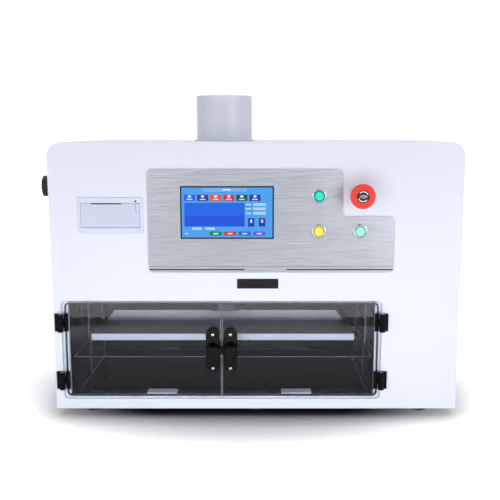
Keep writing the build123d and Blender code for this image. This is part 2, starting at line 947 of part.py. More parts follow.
# Section of the head: neck, flared skirt, rim and slightly domed face
head_r = estop_head_d / 2
head_rim = 7
with BuildPart() as estop_head:
    with BuildSketch(estop_section):
        with BuildLine():
            neck = Line((estop_stem_d / 2 + running, head_back), (estop_neck_r, head_back))
            skirt = ThreePointArc(
                neck @ 1, (estop_neck_r + 2.2, head_back - 6.5), (head_r, -(estop_proud - head_rim))
            )
            rim = Line(skirt @ 1, (head_r, -(estop_proud - 3)))
            crown = ThreePointArc(
                rim @ 1, (head_r - 1, -(estop_proud - 1)), (head_r - 3.2, -(estop_proud - 0.2))
            )
            face = Line(crown @ 1, (0, -estop_proud))
            core = Line(face @ 1, (0, -(estop_stem_front + running)))
            pocket = Line(core @ 1, (estop_stem_d / 2 + running, -(estop_stem_front + running)))
            Line(pocket @ 1, neck @ 0)
        make_face()
    revolve(axis=estop_axis)
write(estop_head, "estop_head")

# Bare nameplate where the photograph's small plate is
with BuildPart() as nameplate_blank:
    with BuildSketch(front(0)):
        with Locations((cab_x + nameplate_x, base_z + nameplate_z)):
            RectangleRounded(nameplate_w, nameplate_h, 1)
    extrude(amount=nameplate_t)
write(nameplate_blank, "nameplate_blank")


# Panel printer: bezel with a fixed strip, a bucket for the roll, and stub axles for the core
door_mid_z = base_z + printer_z - printer_h / 2 + printer_door_low + printer_door_h / 2
door_w_gap = 0.5
lever_pin_len = 2.5
inner_w = printer_body_w - 2 * printer_wall
inner_h = printer_body_h - 2 * printer_wall
roll_y = front_y + roll_behind + roll_d / 2
roll_z = base_z + printer_z - roll_drop
door_pin_y = front_y - printer_proud + printer_door_t / 2
door_pin_z = door_mid_z - (printer_door_h - printer_door_t) / 2
lever_pin_z = door_mid_z + (printer_door_h - printer_door_t) / 2
with BuildPart() as printer_frame:
    with BuildSketch(front(0)):
        with Locations((cab_x + printer_x, base_z + printer_z)):
            RectangleRounded(printer_w, printer_h, 3)
    extrude(amount=printer_proud)
    chamfer(printer_frame.edges().group_by(Axis.Y)[0], length=0.8)
    with BuildSketch(front(0)):
        with Locations((cab_x + printer_x, base_z + printer_z)):
            Rectangle(printer_body_w, printer_body_h)
    extrude(amount=-printer_body_d)
    with BuildSketch(front(printer_flange_t)):
        with Locations((cab_x + printer_x, base_z + printer_z)):
            Rectangle(inner_w, inner_h)
    extrude(amount=-(printer_body_d - printer_flange_t - printer_wall), mode=Mode.SUBTRACT)
    with BuildSketch(front(-printer_proud)):
        with Locations((cab_x + printer_x, door_mid_z)):
            Rectangle(printer_door_w + 2 * door_w_gap, printer_door_h + 2 * door_w_gap)
    extrude(amount=-(printer_proud + printer_flange_t), mode=Mode.SUBTRACT)
    # Holes for the door's pins
    with BuildSketch(Plane.YZ.offset(cab_x + printer_x)):
        with Locations((door_pin_y, door_pin_z)):
            Circle(printer_pin_r + running)
    extrude(amount=printer_door_w / 2 + 2, both=True, mode=Mode.SUBTRACT)
    # Hole for the lever's one pin
    with BuildSketch(Plane.YZ.offset(cab_x + printer_x + printer_door_w / 2)):
        with Locations((door_pin_y, lever_pin_z)):
            Circle(printer_pin_r + running)
    extrude(amount=lever_pin_len + running, mode=Mode.SUBTRACT)
    # Side cheeks that carry the roll's stub axles
    for sign in (-1, 1):
        with BuildSketch(Plane.YZ.offset(cab_x + printer_x + sign * (inner_w / 2))):
            with Locations((roll_y, roll_z)):
                Circle(roll_core_d / 2 - running)
        extrude(amount=-sign * (inner_w / 2 - roll_w / 2 + roll_stub))
write(printer_frame, "printer_frame")

notch_w = 50
notch_h = 1.5
notch_offset = 6
lever_x = cab_x + printer_x + printer_door_w / 2 - lever_w / 2
lever_z = door_mid_z + printer_door_h / 2 - lever_h / 2
with BuildPart() as printer_door:
    with BuildSketch(front(-printer_proud)):
        with Locations((cab_x + printer_x, door_mid_z)):
            Rectangle(printer_door_w, printer_door_h)
        with Locations((cab_x + printer_x - notch_offset, door_mid_z + printer_door_h / 2)):
            Rectangle(notch_w, 2 * notch_h, mode=Mode.SUBTRACT)
        with Locations((lever_x, lever_z)):
            Rectangle(lever_w + 2 * door_w_gap, lever_h + 2 * door_w_gap, mode=Mode.SUBTRACT)
    extrude(amount=-printer_door_t)
    fillet(
        printer_door.edges().filter_by(Axis.X).group_by(Axis.Z)[0],
        radius=printer_door_t / 2 - 0.05,
    )
    with BuildSketch(Plane.YZ.offset(cab_x + printer_x)):
        with Locations((door_pin_y, door_pin_z)):
            Circle(printer_pin_r)
    extrude(amount=printer_door_w / 2 + 1.5, both=True)
write(printer_door, "printer_door")

with BuildPart() as printer_lever:
    with BuildSketch(front(-printer_proud)):
        with Locations((lever_x, lever_z)):
            Rectangle(lever_w, lever_h)
    extrude(amount=-printer_door_t)
    fillet(
        printer_lever.edges().filter_by(Axis.X).group_by(Axis.Z)[-1],
        radius=printer_door_t / 2 - 0.05,
    )
    with BuildSketch(Plane.YZ.offset(lever_x)):
        with Locations((door_pin_y, lever_pin_z)):
            Circle(printer_pin_r)
    extrude(amount=lever_w / 2 + lever_pin_len)
write(printer_lever, "printer_lever")

with BuildPart() as paper_roll:
    with BuildSketch(Plane.YZ.offset(cab_x + printer_x)):
        with Locations((roll_y, roll_z)):
            Circle(roll_d / 2)
            Circle(roll_core_d / 2, mode=Mode.SUBTRACT)
    extrude(amount=roll_w / 2, both=True)
write(paper_roll, "paper_roll")


# Doors: two clear leaves in the recess, meeting at the chamber's centre line
leaf_w = (recess_w - 2 * door_gap - door_split) / 2
leaf_h = recess_h - 2 * door_gap
for side, sign in (("left", -1), ("right", 1)):
    leaf_x = ram_x + sign * (door_split + leaf_w) / 2
    with BuildPart() as door_leaf:
        with BuildSketch(front(0)):
            with Locations((leaf_x, opening_z)):
                outline = Rectangle(leaf_w, leaf_h)
            hinge_side = outline.vertices().sort_by(Axis.X)[::sign][-2:]
            fillet(hinge_side, radius=recess_r - door_gap)
        extrude(amount=-door_t)
        chamfer(door_leaf.edges().group_by(Axis.Y)[0], length=0.4)
    write(door_leaf, f"{side}_door_leaf")


def hinge_section(x, sign, leaf_width, knuckle_bore):
    """A hinge half seen from above: a knuckle round the pin, run into a leaf on the face."""
    with BuildSketch() as half:
        with Locations((x, front_y - hinge_proud)):
            Circle(hinge_knuckle_r)
        with Locations((x + sign * leaf_width / 2, front_y - hinge_leaf_t / 2)):
            Rectangle(leaf_width, hinge_leaf_t)
        with Locations((x + sign * leaf_width / 4, front_y - hinge_proud / 2)):
            Rectangle(leaf_width / 2, hinge_proud)
        with Locations((x, front_y - hinge_proud)):
            Circle(knuckle_bore, mode=Mode.SUBTRACT)
    return half.sketch


def hinge_leaf(x, sign, leaf_width):
    """The leaf alone, clear of the other half's knuckles."""
    start = hinge_knuckle_r + clear
    with BuildSketch() as leaf:
        with Locations((x + sign * (start + leaf_width) / 2, front_y - hinge_leaf_t / 2)):
            Rectangle(leaf_width - start, hinge_leaf_t)
    return leaf.sketch


# Hinges: the cabinet's halves carry the outer knuckles, the doors' halves the middle one
knuckle_h = hinge_h / 3
knuckle_gap = 0.2
hinge_levels = [base_z + hinge_low, base_z + hinge_high]
pin_bore = hinge_pin_r + running
with BuildPart() as cabinet_hinge_leaves:
    for sign in (-1, 1):
        axis_x = ram_x + sign * hinge_offset
        for z in hinge_levels:
            with BuildSketch(Plane.XY.offset(z - hinge_h / 2)):
                add(hinge_leaf(axis_x, sign, hinge_leaf_w))
            extrude(amount=hinge_h)
            for low in (z - hinge_h / 2, z + knuckle_h / 2):
                with BuildSketch(Plane.XY.offset(low)):
                    add(hinge_section(axis_x, sign, hinge_leaf_w, pin_bore))
                extrude(amount=knuckle_h)
write(cabinet_hinge_leaves, "cabinet_hinge_leaves")

for side, sign in (("left", -1), ("right", 1)):
    axis_x = ram_x + sign * hinge_offset
    with BuildPart() as door_hinge:
        for z in hinge_levels:
            with BuildSketch(Plane.XY.offset(z - hinge_h / 2)):
                add(hinge_leaf(axis_x, -sign, hinge_door_leaf_w))
            extrude(amount=hinge_h)
            with BuildSketch(Plane.XY.offset(z - knuckle_h / 2 + knuckle_gap)):
                add(hinge_section(axis_x, -sign, hinge_door_leaf_w, pin_bore))
            extrude(amount=knuckle_h - 2 * knuckle_gap)
    write(door_hinge, f"{side}_hinge_leaves")

with BuildPart() as hinge_pins:
    for sign in (-1, 1):
        for z in hinge_levels:
            with BuildSketch(Plane.XY.offset(z - hinge_h / 2)):
                with Locations((ram_x + sign * hinge_offset, front_y - hinge_proud)):
                    Circle(hinge_pin_r)
            extrude(amount=hinge_h)
write(hinge_pins, "hinge_pins")

# Latch: a plate on each door, joined by a bar that is split where the doors meet
latch_z = base_z + latch_mid
bar_depth = latch_t + latch_boss_t
bolt_mid = latch_t + latch_boss_t / 2
socket_clear = 0.2
for side, sign in (("left", -1), ("right", 1)):
    plate_x = ram_x + sign * latch_from_split
    with BuildPart() as latch_plate:
        with BuildSketch(front(0)):
            with Locations((plate_x, latch_z)):
                SlotOverall(latch_h, latch_w, rotation=90)
        extrude(amount=latch_t)
        fillet(latch_plate.edges().group_by(Axis.Y)[0], radius=1)
        boss_d = latch_boss_d if side == "left" else pull_d
        with BuildSketch(front(0)):
            with Locations((plate_x, latch_z)):
                Circle(boss_d / 2)
            bar_end = door_split / 2
            with Locations((ram_x + sign * (bar_end + latch_from_split) / 2, latch_z)):
                Rectangle(latch_from_split - bar_end, latch_bar_h)
        extrude(amount=bar_depth)
        if side == "right":
            with BuildSketch(front(-bar_depth)):
                with Locations((plate_x, latch_z)):
                    Circle(pull_d / 2)
            extrude(amount=pull_proud - bar_depth)
            fillet(latch_plate.edges().group_by(Axis.Y)[0], radius=5)
        with BuildSketch(Plane.YZ.offset(ram_x)):
            with Locations((front_y - bolt_mid, latch_z)):
                Rectangle(bolt_t + 2 * socket_clear, bolt_w + 2 * socket_clear)
        pocket_len = latch_from_split + 2 if side == "left" else bolt_throw + 2
        extrude(amount=sign * pocket_len, mode=Mode.SUBTRACT)
    write(latch_plate, f"{side}_latch_plate")

with BuildPart() as latch_bolt:
    with BuildSketch(Plane.YZ.offset(ram_x - door_split / 2 - 0.5)):
        with Locations((front_y - bolt_mid, latch_z)):
            Rectangle(bolt_t, bolt_w)
    extrude(amount=-bolt_len)
    chamfer(latch_bolt.edges().group_by(Axis.X)[-1], length=0.8)
write(latch_bolt, "latch_bolt")

# Turn knob: a disc on the left boss with a raised grip across it
knob_back = bar_depth + clear
with BuildPart() as latch_turn_knob:
    with BuildSketch(front(-knob_back)):
        with Locations((ram_x - latch_from_split, latch_z)):
            Circle(turn_knob_d / 2)
    extrude(amount=turn_knob_t - turn_ridge_t)
    with BuildSketch(front(-(knob_back + turn_knob_t - turn_ridge_t))):
        with Locations((ram_x - latch_from_split, latch_z)):
            SlotOverall(turn_knob_d - 2, turn_ridge_w, rotation=90)
    extrude(amount=turn_ridge_t)
    fillet(latch_turn_knob.edges().group_by(Axis.Y)[0], radius=1.2)
write(latch_turn_knob, "latch_turn_knob")


# Ram: platen, spreader beam, load cell, screw and guide rods
with BuildPart() as upper_platen:
    with BuildSketch(Plane.XY.offset(platen_z)):
        with Locations((ram_x, ram_y)):
            Rectangle(platen_w, platen_d)
    extrude(amount=-platen_t)
    chamfer(upper_platen.edges().filter_by(Axis.Z), length=1)
    chamfer(upper_platen.edges().group_by(Axis.Z)[0], length=0.8)
write(upper_platen, "upper_platen")

with BuildPart() as spreader_beam:
    with BuildSketch(Plane.XZ.offset(-ram_y)):
        with BuildLine():
            Polyline(
                (ram_x - beam_w / 2, platen_z),
                (ram_x + beam_w / 2, platen_z),
                (ram_x + beam_w / 2 - beam_slope, beam_top),
                (ram_x - beam_w / 2 + beam_slope, beam_top),
                close=True,
            )
        make_face()
    extrude(amount=beam_d / 2, both=True)
write(spreader_beam, "spreader_beam")

with BuildPart() as load_cell:
    with BuildSketch(Plane.XY.offset(beam_top)):
        with Locations((ram_x, ram_y)):
            Circle(cell_d / 2)
    extrude(amount=cell_t)
    chamfer(load_cell.edges().group_by(Axis.Z)[-1], length=1.5)
    with BuildSketch(Plane.XY.offset(beam_top + cell_t)):
        with Locations((ram_x, ram_y)):
            Circle(cell_hub_d / 2)
            with PolarLocations((cell_d + cell_hub_d) / 4, 8):
                Circle(3)
    extrude(amount=cell_hub_t / 2)
    with BuildSketch(Plane.XY.offset(beam_top + cell_t)):
        with Locations((ram_x, ram_y)):
            Circle(cell_hub_d / 2)
    extrude(amount=cell_hub_t)
write(load_cell, "load_cell")

with BuildPart() as lead_screw:
    with BuildSketch(Plane.XY.offset(cell_top)):
        with Locations((ram_x, ram_y)):
            Circle(screw_d / 2)
    extrude(amount=base_z + screw_top - cell_top)
    chamfer(lead_screw.edges().group_by(Axis.Z)[-1], length=2)
write(lead_screw, "lead_screw")

with BuildPart() as guide_rods:
    for sign in (-1, 1):
        with BuildSketch(Plane.XY.offset(platen_z)):
            with Locations((ram_x + sign * guide_x, front_y + guide_depth)):
                Circle(guide_d / 2)
        extrude(amount=base_z + guide_top - platen_z)
write(guide_rods, "guide_rods")


# Side knob: fluted, on a shaft through the cabinet's left side, with its body inside
knob_y = front_y + knob_depth
side_knob_plane = Plane(origin=(left_x, knob_y, base_z + knob_z), x_dir=(0, 1, 0), z_dir=(-1, 0, 0))
knob_gap = knob_reach - knob_len
shaft_inside = 8
with BuildPart() as side_knob:
    with BuildSketch(side_knob_plane.offset(knob_gap)):
        Circle(knob_d / 2)
        with PolarLocations(knob_d / 2, knob_flutes):
            Circle(knob_flute_r, mode=Mode.SUBTRACT)
    extrude(amount=knob_len)
    with BuildSketch(side_knob_plane.offset(-(skin + shaft_inside))):
        Circle(knob_shaft_d / 2)
    extrude(amount=skin + shaft_inside + knob_gap)
write(side_knob, "side_knob")

socket_nut_t = 3
socket_nut_d = 16
socket_body_d = 24
socket_body_len = 16
with BuildPart() as knob_socket:
    with BuildSketch(side_knob_plane):
        Circle(socket_nut_d / 2)
        Circle(knob_shaft_d / 2 + running, mode=Mode.SUBTRACT)
    extrude(amount=socket_nut_t)
    with BuildSketch(side_knob_plane.offset(-skin)):
        Circle(socket_body_d / 2)
    extrude(amount=-socket_body_len)
    with BuildSketch(side_knob_plane):
        Circle(knob_shaft_d / 2 + 1)
    extrude(amount=-skin)
    with BuildSketch(side_knob_plane.offset(socket_nut_t)):
        Circle(knob_shaft_d / 2 + running)
    extrude(amount=-(socket_nut_t + skin + shaft_inside + 1), mode=Mode.SUBTRACT)
write(knob_socket, "knob_socket")

# Mains inlet: a flange on the rear panel, a three-pin socket, and a pocket for the rocker
inlet_at = (cab_x + inlet_x, rear_y, base_z + inlet_z)
rear_plane = Plane(origin=inlet_at, x_dir=(-1, 0, 0), z_dir=(0, 1, 0))
inlet_corner_r = 3
pin_pitch = 7
pin_w = 2
pin_h = 5
pin_len = 13
rocker_depth = 14
rocker_pin_r = 1
rocker_pin_behind = 2
rocker_pin_y = rear_y - rocker_pin_behind
rocker_pin_z = base_z + inlet_z + rocker_offset_z
with BuildPart() as mains_inlet:
    with BuildSketch(rear_plane):
        RectangleRounded(inlet_w, inlet_h, inlet_corner_r)
    extrude(amount=inlet_reach)
    with BuildSketch(rear_plane):
        Rectangle(inlet_body_w, inlet_body_h)
    extrude(amount=-inlet_body_d)
    with BuildSketch(rear_plane.offset(inlet_reach)):
        with Locations((0, socket_offset_z)):
            Rectangle(socket_w, socket_h)
            with GridLocations(pin_pitch, 0, 3, 1):
                Rectangle(pin_w, pin_h, mode=Mode.SUBTRACT)
    extrude(amount=-socket_d, mode=Mode.SUBTRACT)
    with BuildSketch(rear_plane.offset(inlet_reach)):
        with Locations((0, socket_offset_z)):
            Rectangle(socket_w, socket_h)
    extrude(amount=-(socket_d - pin_len), mode=Mode.SUBTRACT)
    with BuildSketch(rear_plane.offset(inlet_reach)):
        with Locations((0, rocker_offset_z)):
            Rectangle(rocker_w + 2 * clear, rocker_h + 2 * clear)
    extrude(amount=-rocker_depth, mode=Mode.SUBTRACT)
    # Pivot holes for the rocker
    with BuildSketch(Plane.YZ.offset(cab_x + inlet_x)):
        with Locations((rocker_pin_y, rocker_pin_z)):
            Circle(rocker_pin_r + running)
    extrude(amount=rocker_w / 2 + 2, both=True, mode=Mode.SUBTRACT)
write(mains_inlet, "mains_inlet")

# Rocker: a key on two pins, its face in two planes with the upper half out
rocker_r = rocker_h / 2
rocker_face = 2.4
rocker_rise = 2.5
rocker_t = 3
with BuildPart() as mains_rocker:
    with BuildSketch(Plane.YZ.offset(cab_x + inlet_x)):
        with BuildLine():
            Polyline(
                (rocker_pin_y - rocker_t, rocker_pin_z - rocker_r),
                (rocker_pin_y + rocker_face, rocker_pin_z - rocker_r),
                (rocker_pin_y + rocker_face, rocker_pin_z),
                (rocker_pin_y + rocker_face + rocker_rise, rocker_pin_z + rocker_r),
                (rocker_pin_y - rocker_t, rocker_pin_z + rocker_r),
                close=True,
            )
        make_face()
        with Locations((rocker_pin_y, rocker_pin_z)):
            Circle(rocker_r, mode=Mode.INTERSECT)
    extrude(amount=rocker_w / 2, both=True)
    with BuildSketch(Plane.YZ.offset(cab_x + inlet_x)):
        with Locations((rocker_pin_y, rocker_pin_z)):
            Circle(rocker_pin_r)
    extrude(amount=rocker_w / 2 + 1.5, both=True)
write(mains_rocker, "mains_rocker")
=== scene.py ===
from math import pi, radians

import bmesh
import bpy
from bpy.props import FloatProperty, FloatVectorProperty, PointerProperty
from mathutils import Matrix, Vector


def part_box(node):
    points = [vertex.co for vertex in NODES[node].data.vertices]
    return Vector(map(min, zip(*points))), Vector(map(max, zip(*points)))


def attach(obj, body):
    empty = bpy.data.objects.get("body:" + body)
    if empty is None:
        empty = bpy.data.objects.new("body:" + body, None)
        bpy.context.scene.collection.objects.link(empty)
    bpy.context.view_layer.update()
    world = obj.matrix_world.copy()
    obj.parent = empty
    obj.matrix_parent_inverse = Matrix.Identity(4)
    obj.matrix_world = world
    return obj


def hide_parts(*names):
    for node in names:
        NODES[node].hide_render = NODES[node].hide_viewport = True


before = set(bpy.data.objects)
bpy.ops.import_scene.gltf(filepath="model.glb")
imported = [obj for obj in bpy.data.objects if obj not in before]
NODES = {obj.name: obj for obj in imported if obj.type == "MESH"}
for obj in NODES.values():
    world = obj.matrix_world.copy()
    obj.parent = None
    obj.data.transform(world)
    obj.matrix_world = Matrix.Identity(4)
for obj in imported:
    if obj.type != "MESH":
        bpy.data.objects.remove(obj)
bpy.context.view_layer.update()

bl_info = {
    "name": "Carton compression tester",
    "version": (1, 0, 0),
    "blender": (4, 5, 0),
    "location": "3D View > Sidebar > Press",
    "description": "Finishes and small fittings of a benchtop carton compression tester",
    "category": "Object",
}

MM = 0.001
FRONT = (0, -1, 0)
REAR = (0, 1, 0)
BUTTONS = ("test", "standby", "power")


# --- Colours and nodes -------------------------------------------------------------------


def linear(code):
    """An sRGB hex colour as linear red, green, blue and full alpha."""
    channels = [int(code[i : i + 2], 16) / 255 for i in (0, 2, 4)]
    bent = [c / 12.92 if c <= 0.04045 else ((c + 0.055) / 1.055) ** 2.4 for c in channels]
    return (*bent, 1.0)


def add_node(tree, kind, settings=None, sockets=None, links=None):
    """Add one node, set its properties and sockets, and link sockets to (node, output) pairs."""
    made = tree.nodes.new(kind)
    for key, value in (settings or {}).items():
        setattr(made, key, value)
    for key, value in (sockets or {}).items():
        made.inputs[key].default_value = value
    for key, (source, output) in (links or {}).items():
        tree.links.new(source.outputs[output], made.inputs[key])
    return made


def new_finish(name, colour, roughness, metallic=0.0, **sockets):
    """A material with one main shader, and the object's own coordinates for its patterns."""
    finish = bpy.data.materials.new(name)
    finish.use_nodes = True
    tree = finish.node_tree
    shader = tree.nodes["Principled BSDF"]
    shader.inputs["Base Color"].default_value = colour
    shader.inputs["Roughness"].default_value = roughness
    shader.inputs["Metallic"].default_value = metallic
    for key, value in sockets.items():
        shader.inputs[key.replace("_", " ")].default_value = value
    place = add_node(tree, "ShaderNodeTexCoord")
    return finish, tree, shader, place


def grain(tree, place, size_mm, stretch=(1, 1, 1), detail=2.0):
    """Noise whose grains are this big, drawn out along an axis by a stretch above 1."""
    mapping = add_node(
        tree,
        "ShaderNodeMapping",
        sockets={"Scale": tuple(1 / s for s in stretch)},
        links={"Vector": (place, "Object")},
    )
    return add_node(
        tree,
        "ShaderNodeTexNoise",
        sockets={"Scale": 1000 / size_mm, "Detail": detail},
        links={"Vector": (mapping, "Vector")},
    )


def emboss(tree, shader, height, depth_mm, strength=1.0):
    """Press a height pattern into the surface."""
    bump = add_node(
        tree,
        "ShaderNodeBump",
        sockets={"Strength": strength, "Distance": depth_mm * MM},
        links={"Height": (height, 0)},
    )
    tree.links.new(bump.outputs["Normal"], shader.inputs["Normal"])


def mottle(tree, shader, pattern, low, high):
    """Let a pattern carry the roughness between two values."""
    span = add_node(
        tree,
        "ShaderNodeMapRange",
        sockets={"From Min": 0.3, "From Max": 0.7, "To Min": low, "To Max": high},
        links={"Value": (pattern, 0)},
    )
    tree.links.new(span.outputs["Result"], shader.inputs["Roughness"])


def tint(tree, shader, pattern, first, second):
    """Let a pattern run the base colour from one colour to another."""
    ramp = add_node(tree, "ShaderNodeValToRGB", links={"Fac": (pattern, 0)})
    ramp.color_ramp.elements[0].position = 0.35
    ramp.color_ramp.elements[0].color = first
    ramp.color_ramp.elements[1].position = 0.65
    ramp.color_ramp.elements[1].color = second
    tree.links.new(ramp.outputs["Color"], shader.inputs["Base Color"])


# --- Finishes ----------------------------------------------------------------------------


def powder_coat(name, colour, roughness=0.38):
    # Baked polyester powder: soft gloss with a fine orange-peel ripple about 1.5 mm apart.
    finish, tree, shader, place = new_finish(name, colour, roughness, IOR=1.5)
    emboss(tree, shader, grain(tree, place, 1.5), 0.02, 0.5)
    mottle(tree, shader, grain(tree, place, 60), roughness - 0.04, roughness + 0.05)
    return finish


def mirror_sheet(name, dark, pale, roughness, along):
    # Polished stainless sheet: clear reflections with faint long rolling streaks.
    finish, tree, shader, place = new_finish(name, dark, roughness, 1.0)
    streaks = grain(tree, place, 3, along, 3.0)
    tint(tree, shader, streaks, dark, pale)
    mottle(tree, shader, streaks, roughness * 0.7, roughness * 1.5)
    return finish


def brushed_sheet(name, dark, pale, roughness, along, line_mm=0.8):
    # Brushed stainless: hair lines in one direction. Real lines are near 0.1 mm; they are
    # drawn coarser here, so that they show.
    finish, tree, shader, place = new_finish(name, dark, roughness, 1.0, Anisotropic=0.6)
    lines = grain(tree, place, line_mm, along, 4.0)
    tint(tree, shader, lines, dark, pale)
    mottle(tree, shader, lines, roughness * 0.8, roughness * 1.25)
    emboss(tree, shader, lines, 0.01, 0.4)
    return finish


def machined_metal(name, dark, pale, roughness, mark_mm=1.2, along=(30, 1, 1)):
    # Milled or turned bare metal: even tool marks, duller than polished sheet.
    finish, tree, shader, place = new_finish(name, dark, roughness, 1.0)
    marks = grain(tree, place, mark_mm, along, 2.0)
    tint(tree, shader, marks, dark, pale)
    mottle(tree, shader, marks, roughness * 0.8, roughness * 1.3)
    emboss(tree, shader, marks, 0.02, 0.3)
    return finish


def zinc_plate(name):
    # Bright zinc on steel: bluish grey, slightly cloudy.
    finish, tree, shader, place = new_finish(name, linear("B9BDC4"), 0.28, 1.0)
    clouds = grain(tree, place, 9)
    tint(tree, shader, clouds, linear("A9AEB8"), linear("C9CDD2"))
    mottle(tree, shader, clouds, 0.2, 0.36)
    return finish


def textured(name, colour, roughness, grain_mm, depth_mm, gloss=0.5):
    """An opaque finish with an even fine texture and slow changes of sheen."""
    finish, tree, shader, place = new_finish(
        name, colour, roughness, IOR=1.53, Specular_IOR_Level=gloss
    )
    emboss(tree, shader, grain(tree, place, grain_mm), depth_mm, 0.5)
    mottle(tree, shader, grain(tree, place, 25), roughness - 0.05, roughness + 0.06)
    return finish


def moulded_plastic(name, colour, roughness, grain_mm=0.6, depth_mm=0.02, gloss=0.5):
    # ABS or nylon from a spark-eroded mould: fine even texture and a soft sheen.
    return textured(name, colour, roughness, grain_mm, depth_mm, gloss)


def highlight_lacquer(name, colour):
    # Baked satin lacquer, nearly even with a wide soft highlight, used to paint bright reflections.
    return textured(name, colour, 0.3, 1.0, 0.01)


def sawn_edge_highlight(name, colour):
    # Acrylic where a saw has cut it: the rough face scatters light, so it looks white; its strips
    # also paint highlights.
    return textured(name, colour, 0.35, 1.2, 0.03)


def printed_ink(name, colour):
    # Screen-printed ink: a thin matt film with the screen's faint texture.
    return textured(name, colour, 0.5, 0.6, 0.02)


def gloss_plastic(name, colour, roughness=0.14, gloss=0.35):
    # Polished mouldings: sharp highlights with a barely uneven surface.
    finish, tree, shader, place = new_finish(
        name, colour, roughness, IOR=1.5, Specular_IOR_Level=gloss
    )
    emboss(tree, shader, grain(tree, place, 6), 0.02, 0.25)
    return finish


def soft_rubber(name):
    # Moulded rubber: almost no gloss, with a chalky bloom in patches.
    finish, tree, shader, place = new_finish(name, linear("18191B"), 0.75, IOR=1.52)
    tint(tree, shader, grain(tree, place, 12), linear("141517"), linear("232427"))
    emboss(tree, shader, grain(tree, place, 0.9), 0.04, 0.6)
    return finish


def clear_acrylic(name, colour, ior):
    # Cast acrylic sheet: clear, with faint sharp reflections. Its IOR is set under the real
    # 1.49, because the photograph shows hardly any veil over the chamber.
    finish, tree, shader, place = new_finish(
        name, colour, 0.02, IOR=ior, Transmission_Weight=1.0, Specular_IOR_Level=0.2
    )
    emboss(tree, shader, grain(tree, place, 45, detail=0.0), 0.02, 0.08)
    return finish


def chrome_plate(name):
    # Chromed brass: a clean mirror with a trace of haze.
    finish, tree, shader, place = new_finish(name, linear("DADCE0"), 0.08, 1.0)
    mottle(tree, shader, grain(tree, place, 4), 0.05, 0.12)
    return finish


def lens_plastic(name, deep, lit, glow):
    # Translucent polycarbonate lens, ribbed inside and faintly lit from behind.
    finish, tree, shader, place = new_finish(name, deep, 0.22, IOR=1.58, Coat_Weight=0.4)
    rib_mm = 2.4
    ribs = add_node(
        tree,
        "ShaderNodeTexVoronoi",
        sockets={"Scale": 1000 / rib_mm, "Randomness": 0.3},
        links={"Vector": (place, "Object")},
    )
    tint(tree, shader, ribs, deep, lit)
    emboss(tree, shader, ribs, 0.15, 0.4)
    shader.inputs["Emission Color"].default_value = lit
    shader.inputs["Emission Strength"].default_value = glow
    return finish


def lit_pixels(name, colour, strength):
    # Backlit display: even colour behind glass with a pixel grid. Real pixels are near 0.2 mm;
    # they are drawn coarser here, so that they show.
    finish, tree, shader, place = new_finish(name, linear("050608"), 0.3, IOR=1.5)
    pixel_mm = 1.6
    grid = add_node(
        tree,
        "ShaderNodeTexVoronoi",
        sockets={"Scale": 1000 / pixel_mm, "Randomness": 0.0},
        links={"Vector": (place, "Object")},
    )
    ramp = add_node(tree, "ShaderNodeValToRGB", links={"Fac": (grid, 0)})
    ramp.color_ramp.elements[0].color = colour
    ramp.color_ramp.elements[1].color = tuple(c * 0.82 for c in colour[:3]) + (1,)
    tree.links.new(ramp.outputs["Color"], shader.inputs["Emission Color"])
    shader.inputs["Emission Strength"].default_value = strength
    return finish


def cast_iron(name):
    # Machined grey iron: dark, open-grained metal.
    finish, tree, shader, place = new_finish(name, linear("6B6D70"), 0.5, 0.9)
    pores = grain(tree, place, 0.8, detail=5.0)
    tint(tree, shader, pores, linear("55575A"), linear("7E8084"))
    emboss(tree, shader, pores, 0.08, 0.6)
    return finish


def board_laminate(name):
    # Glass-epoxy circuit board under green solder mask, with tracks showing through.
    finish, tree, shader, place = new_finish(name, linear("14532A"), 0.35, IOR=1.5)
    track_mm = 9
    tracks = add_node(
        tree,
        "ShaderNodeTexBrick",
        sockets={
            "Scale": 1000 / track_mm,
            "Mortar Size": 0.03,
            "Color1": linear("14532A"),
            "Color2": linear("1B6434"),
            "Mortar": linear("3F9B5A"),
        },
        links={"Vector": (place, "Object")},
    )
    tree.links.new(tracks.outputs["Color"], shader.inputs["Base Color"])
    emboss(tree, shader, tracks, 0.05, 0.4)
    return finish


def coated_paper(name):
    # Thermal paper wound tight: matte white with the layers' edges showing as fine rings.
    finish, tree, shader, place = new_finish(name, linear("F1F1EC"), 0.8, IOR=1.4)
    fibres = grain(tree, place, 0.7, detail=4.0)
    tint(tree, shader, fibres, linear("E6E6E0"), linear("F6F6F2"))
    emboss(tree, shader, fibres, 0.03, 0.4)
    return finish


def threaded_steel(name, pitch_mm):
    # Ground screw: bright steel whose thread is pressed in as bands. They stand two pitches
    # apart, coarser than the real thread, so that they show. The wave has 20 radians a unit.
    finish, tree, shader, place = new_finish(name, linear("AEB2B8"), 0.25, 1.0)
    thread = add_node(
        tree,
        "ShaderNodeTexWave",
        settings={"wave_type": "BANDS", "bands_direction": "Z", "wave_profile": "SIN"},
        sockets={"Scale": pi / 20 * 1000 / pitch_mm, "Distortion": 0.0},
        links={"Vector": (place, "Object")},
    )
    emboss(tree, shader, thread, 1.2, 1.0)
    return finish


def assign(finish, *names):
    """Give CAD pieces a finish."""
    for name in names:
        for slot in NODES[name].material_slots:
            slot.material = finish


# --- Mesh helpers ------------------------------------------------------------------------


def finish_piece(mesh, name, finishes, body, smooth=False):
    """Turn a bmesh into an object that rides on a body."""
    data = bpy.data.meshes.new(name)
    bmesh.ops.recalc_face_normals(mesh, faces=mesh.faces)
    mesh.to_mesh(data)
    mesh.free()
    for finish in finishes:
        data.materials.append(finish)
    if smooth:
        data.polygons.foreach_set("use_smooth", [True] * len(data.polygons))
    piece = bpy.data.objects.new(name, data)
    bpy.context.scene.collection.objects.link(piece)
    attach(piece, body)
    return piece


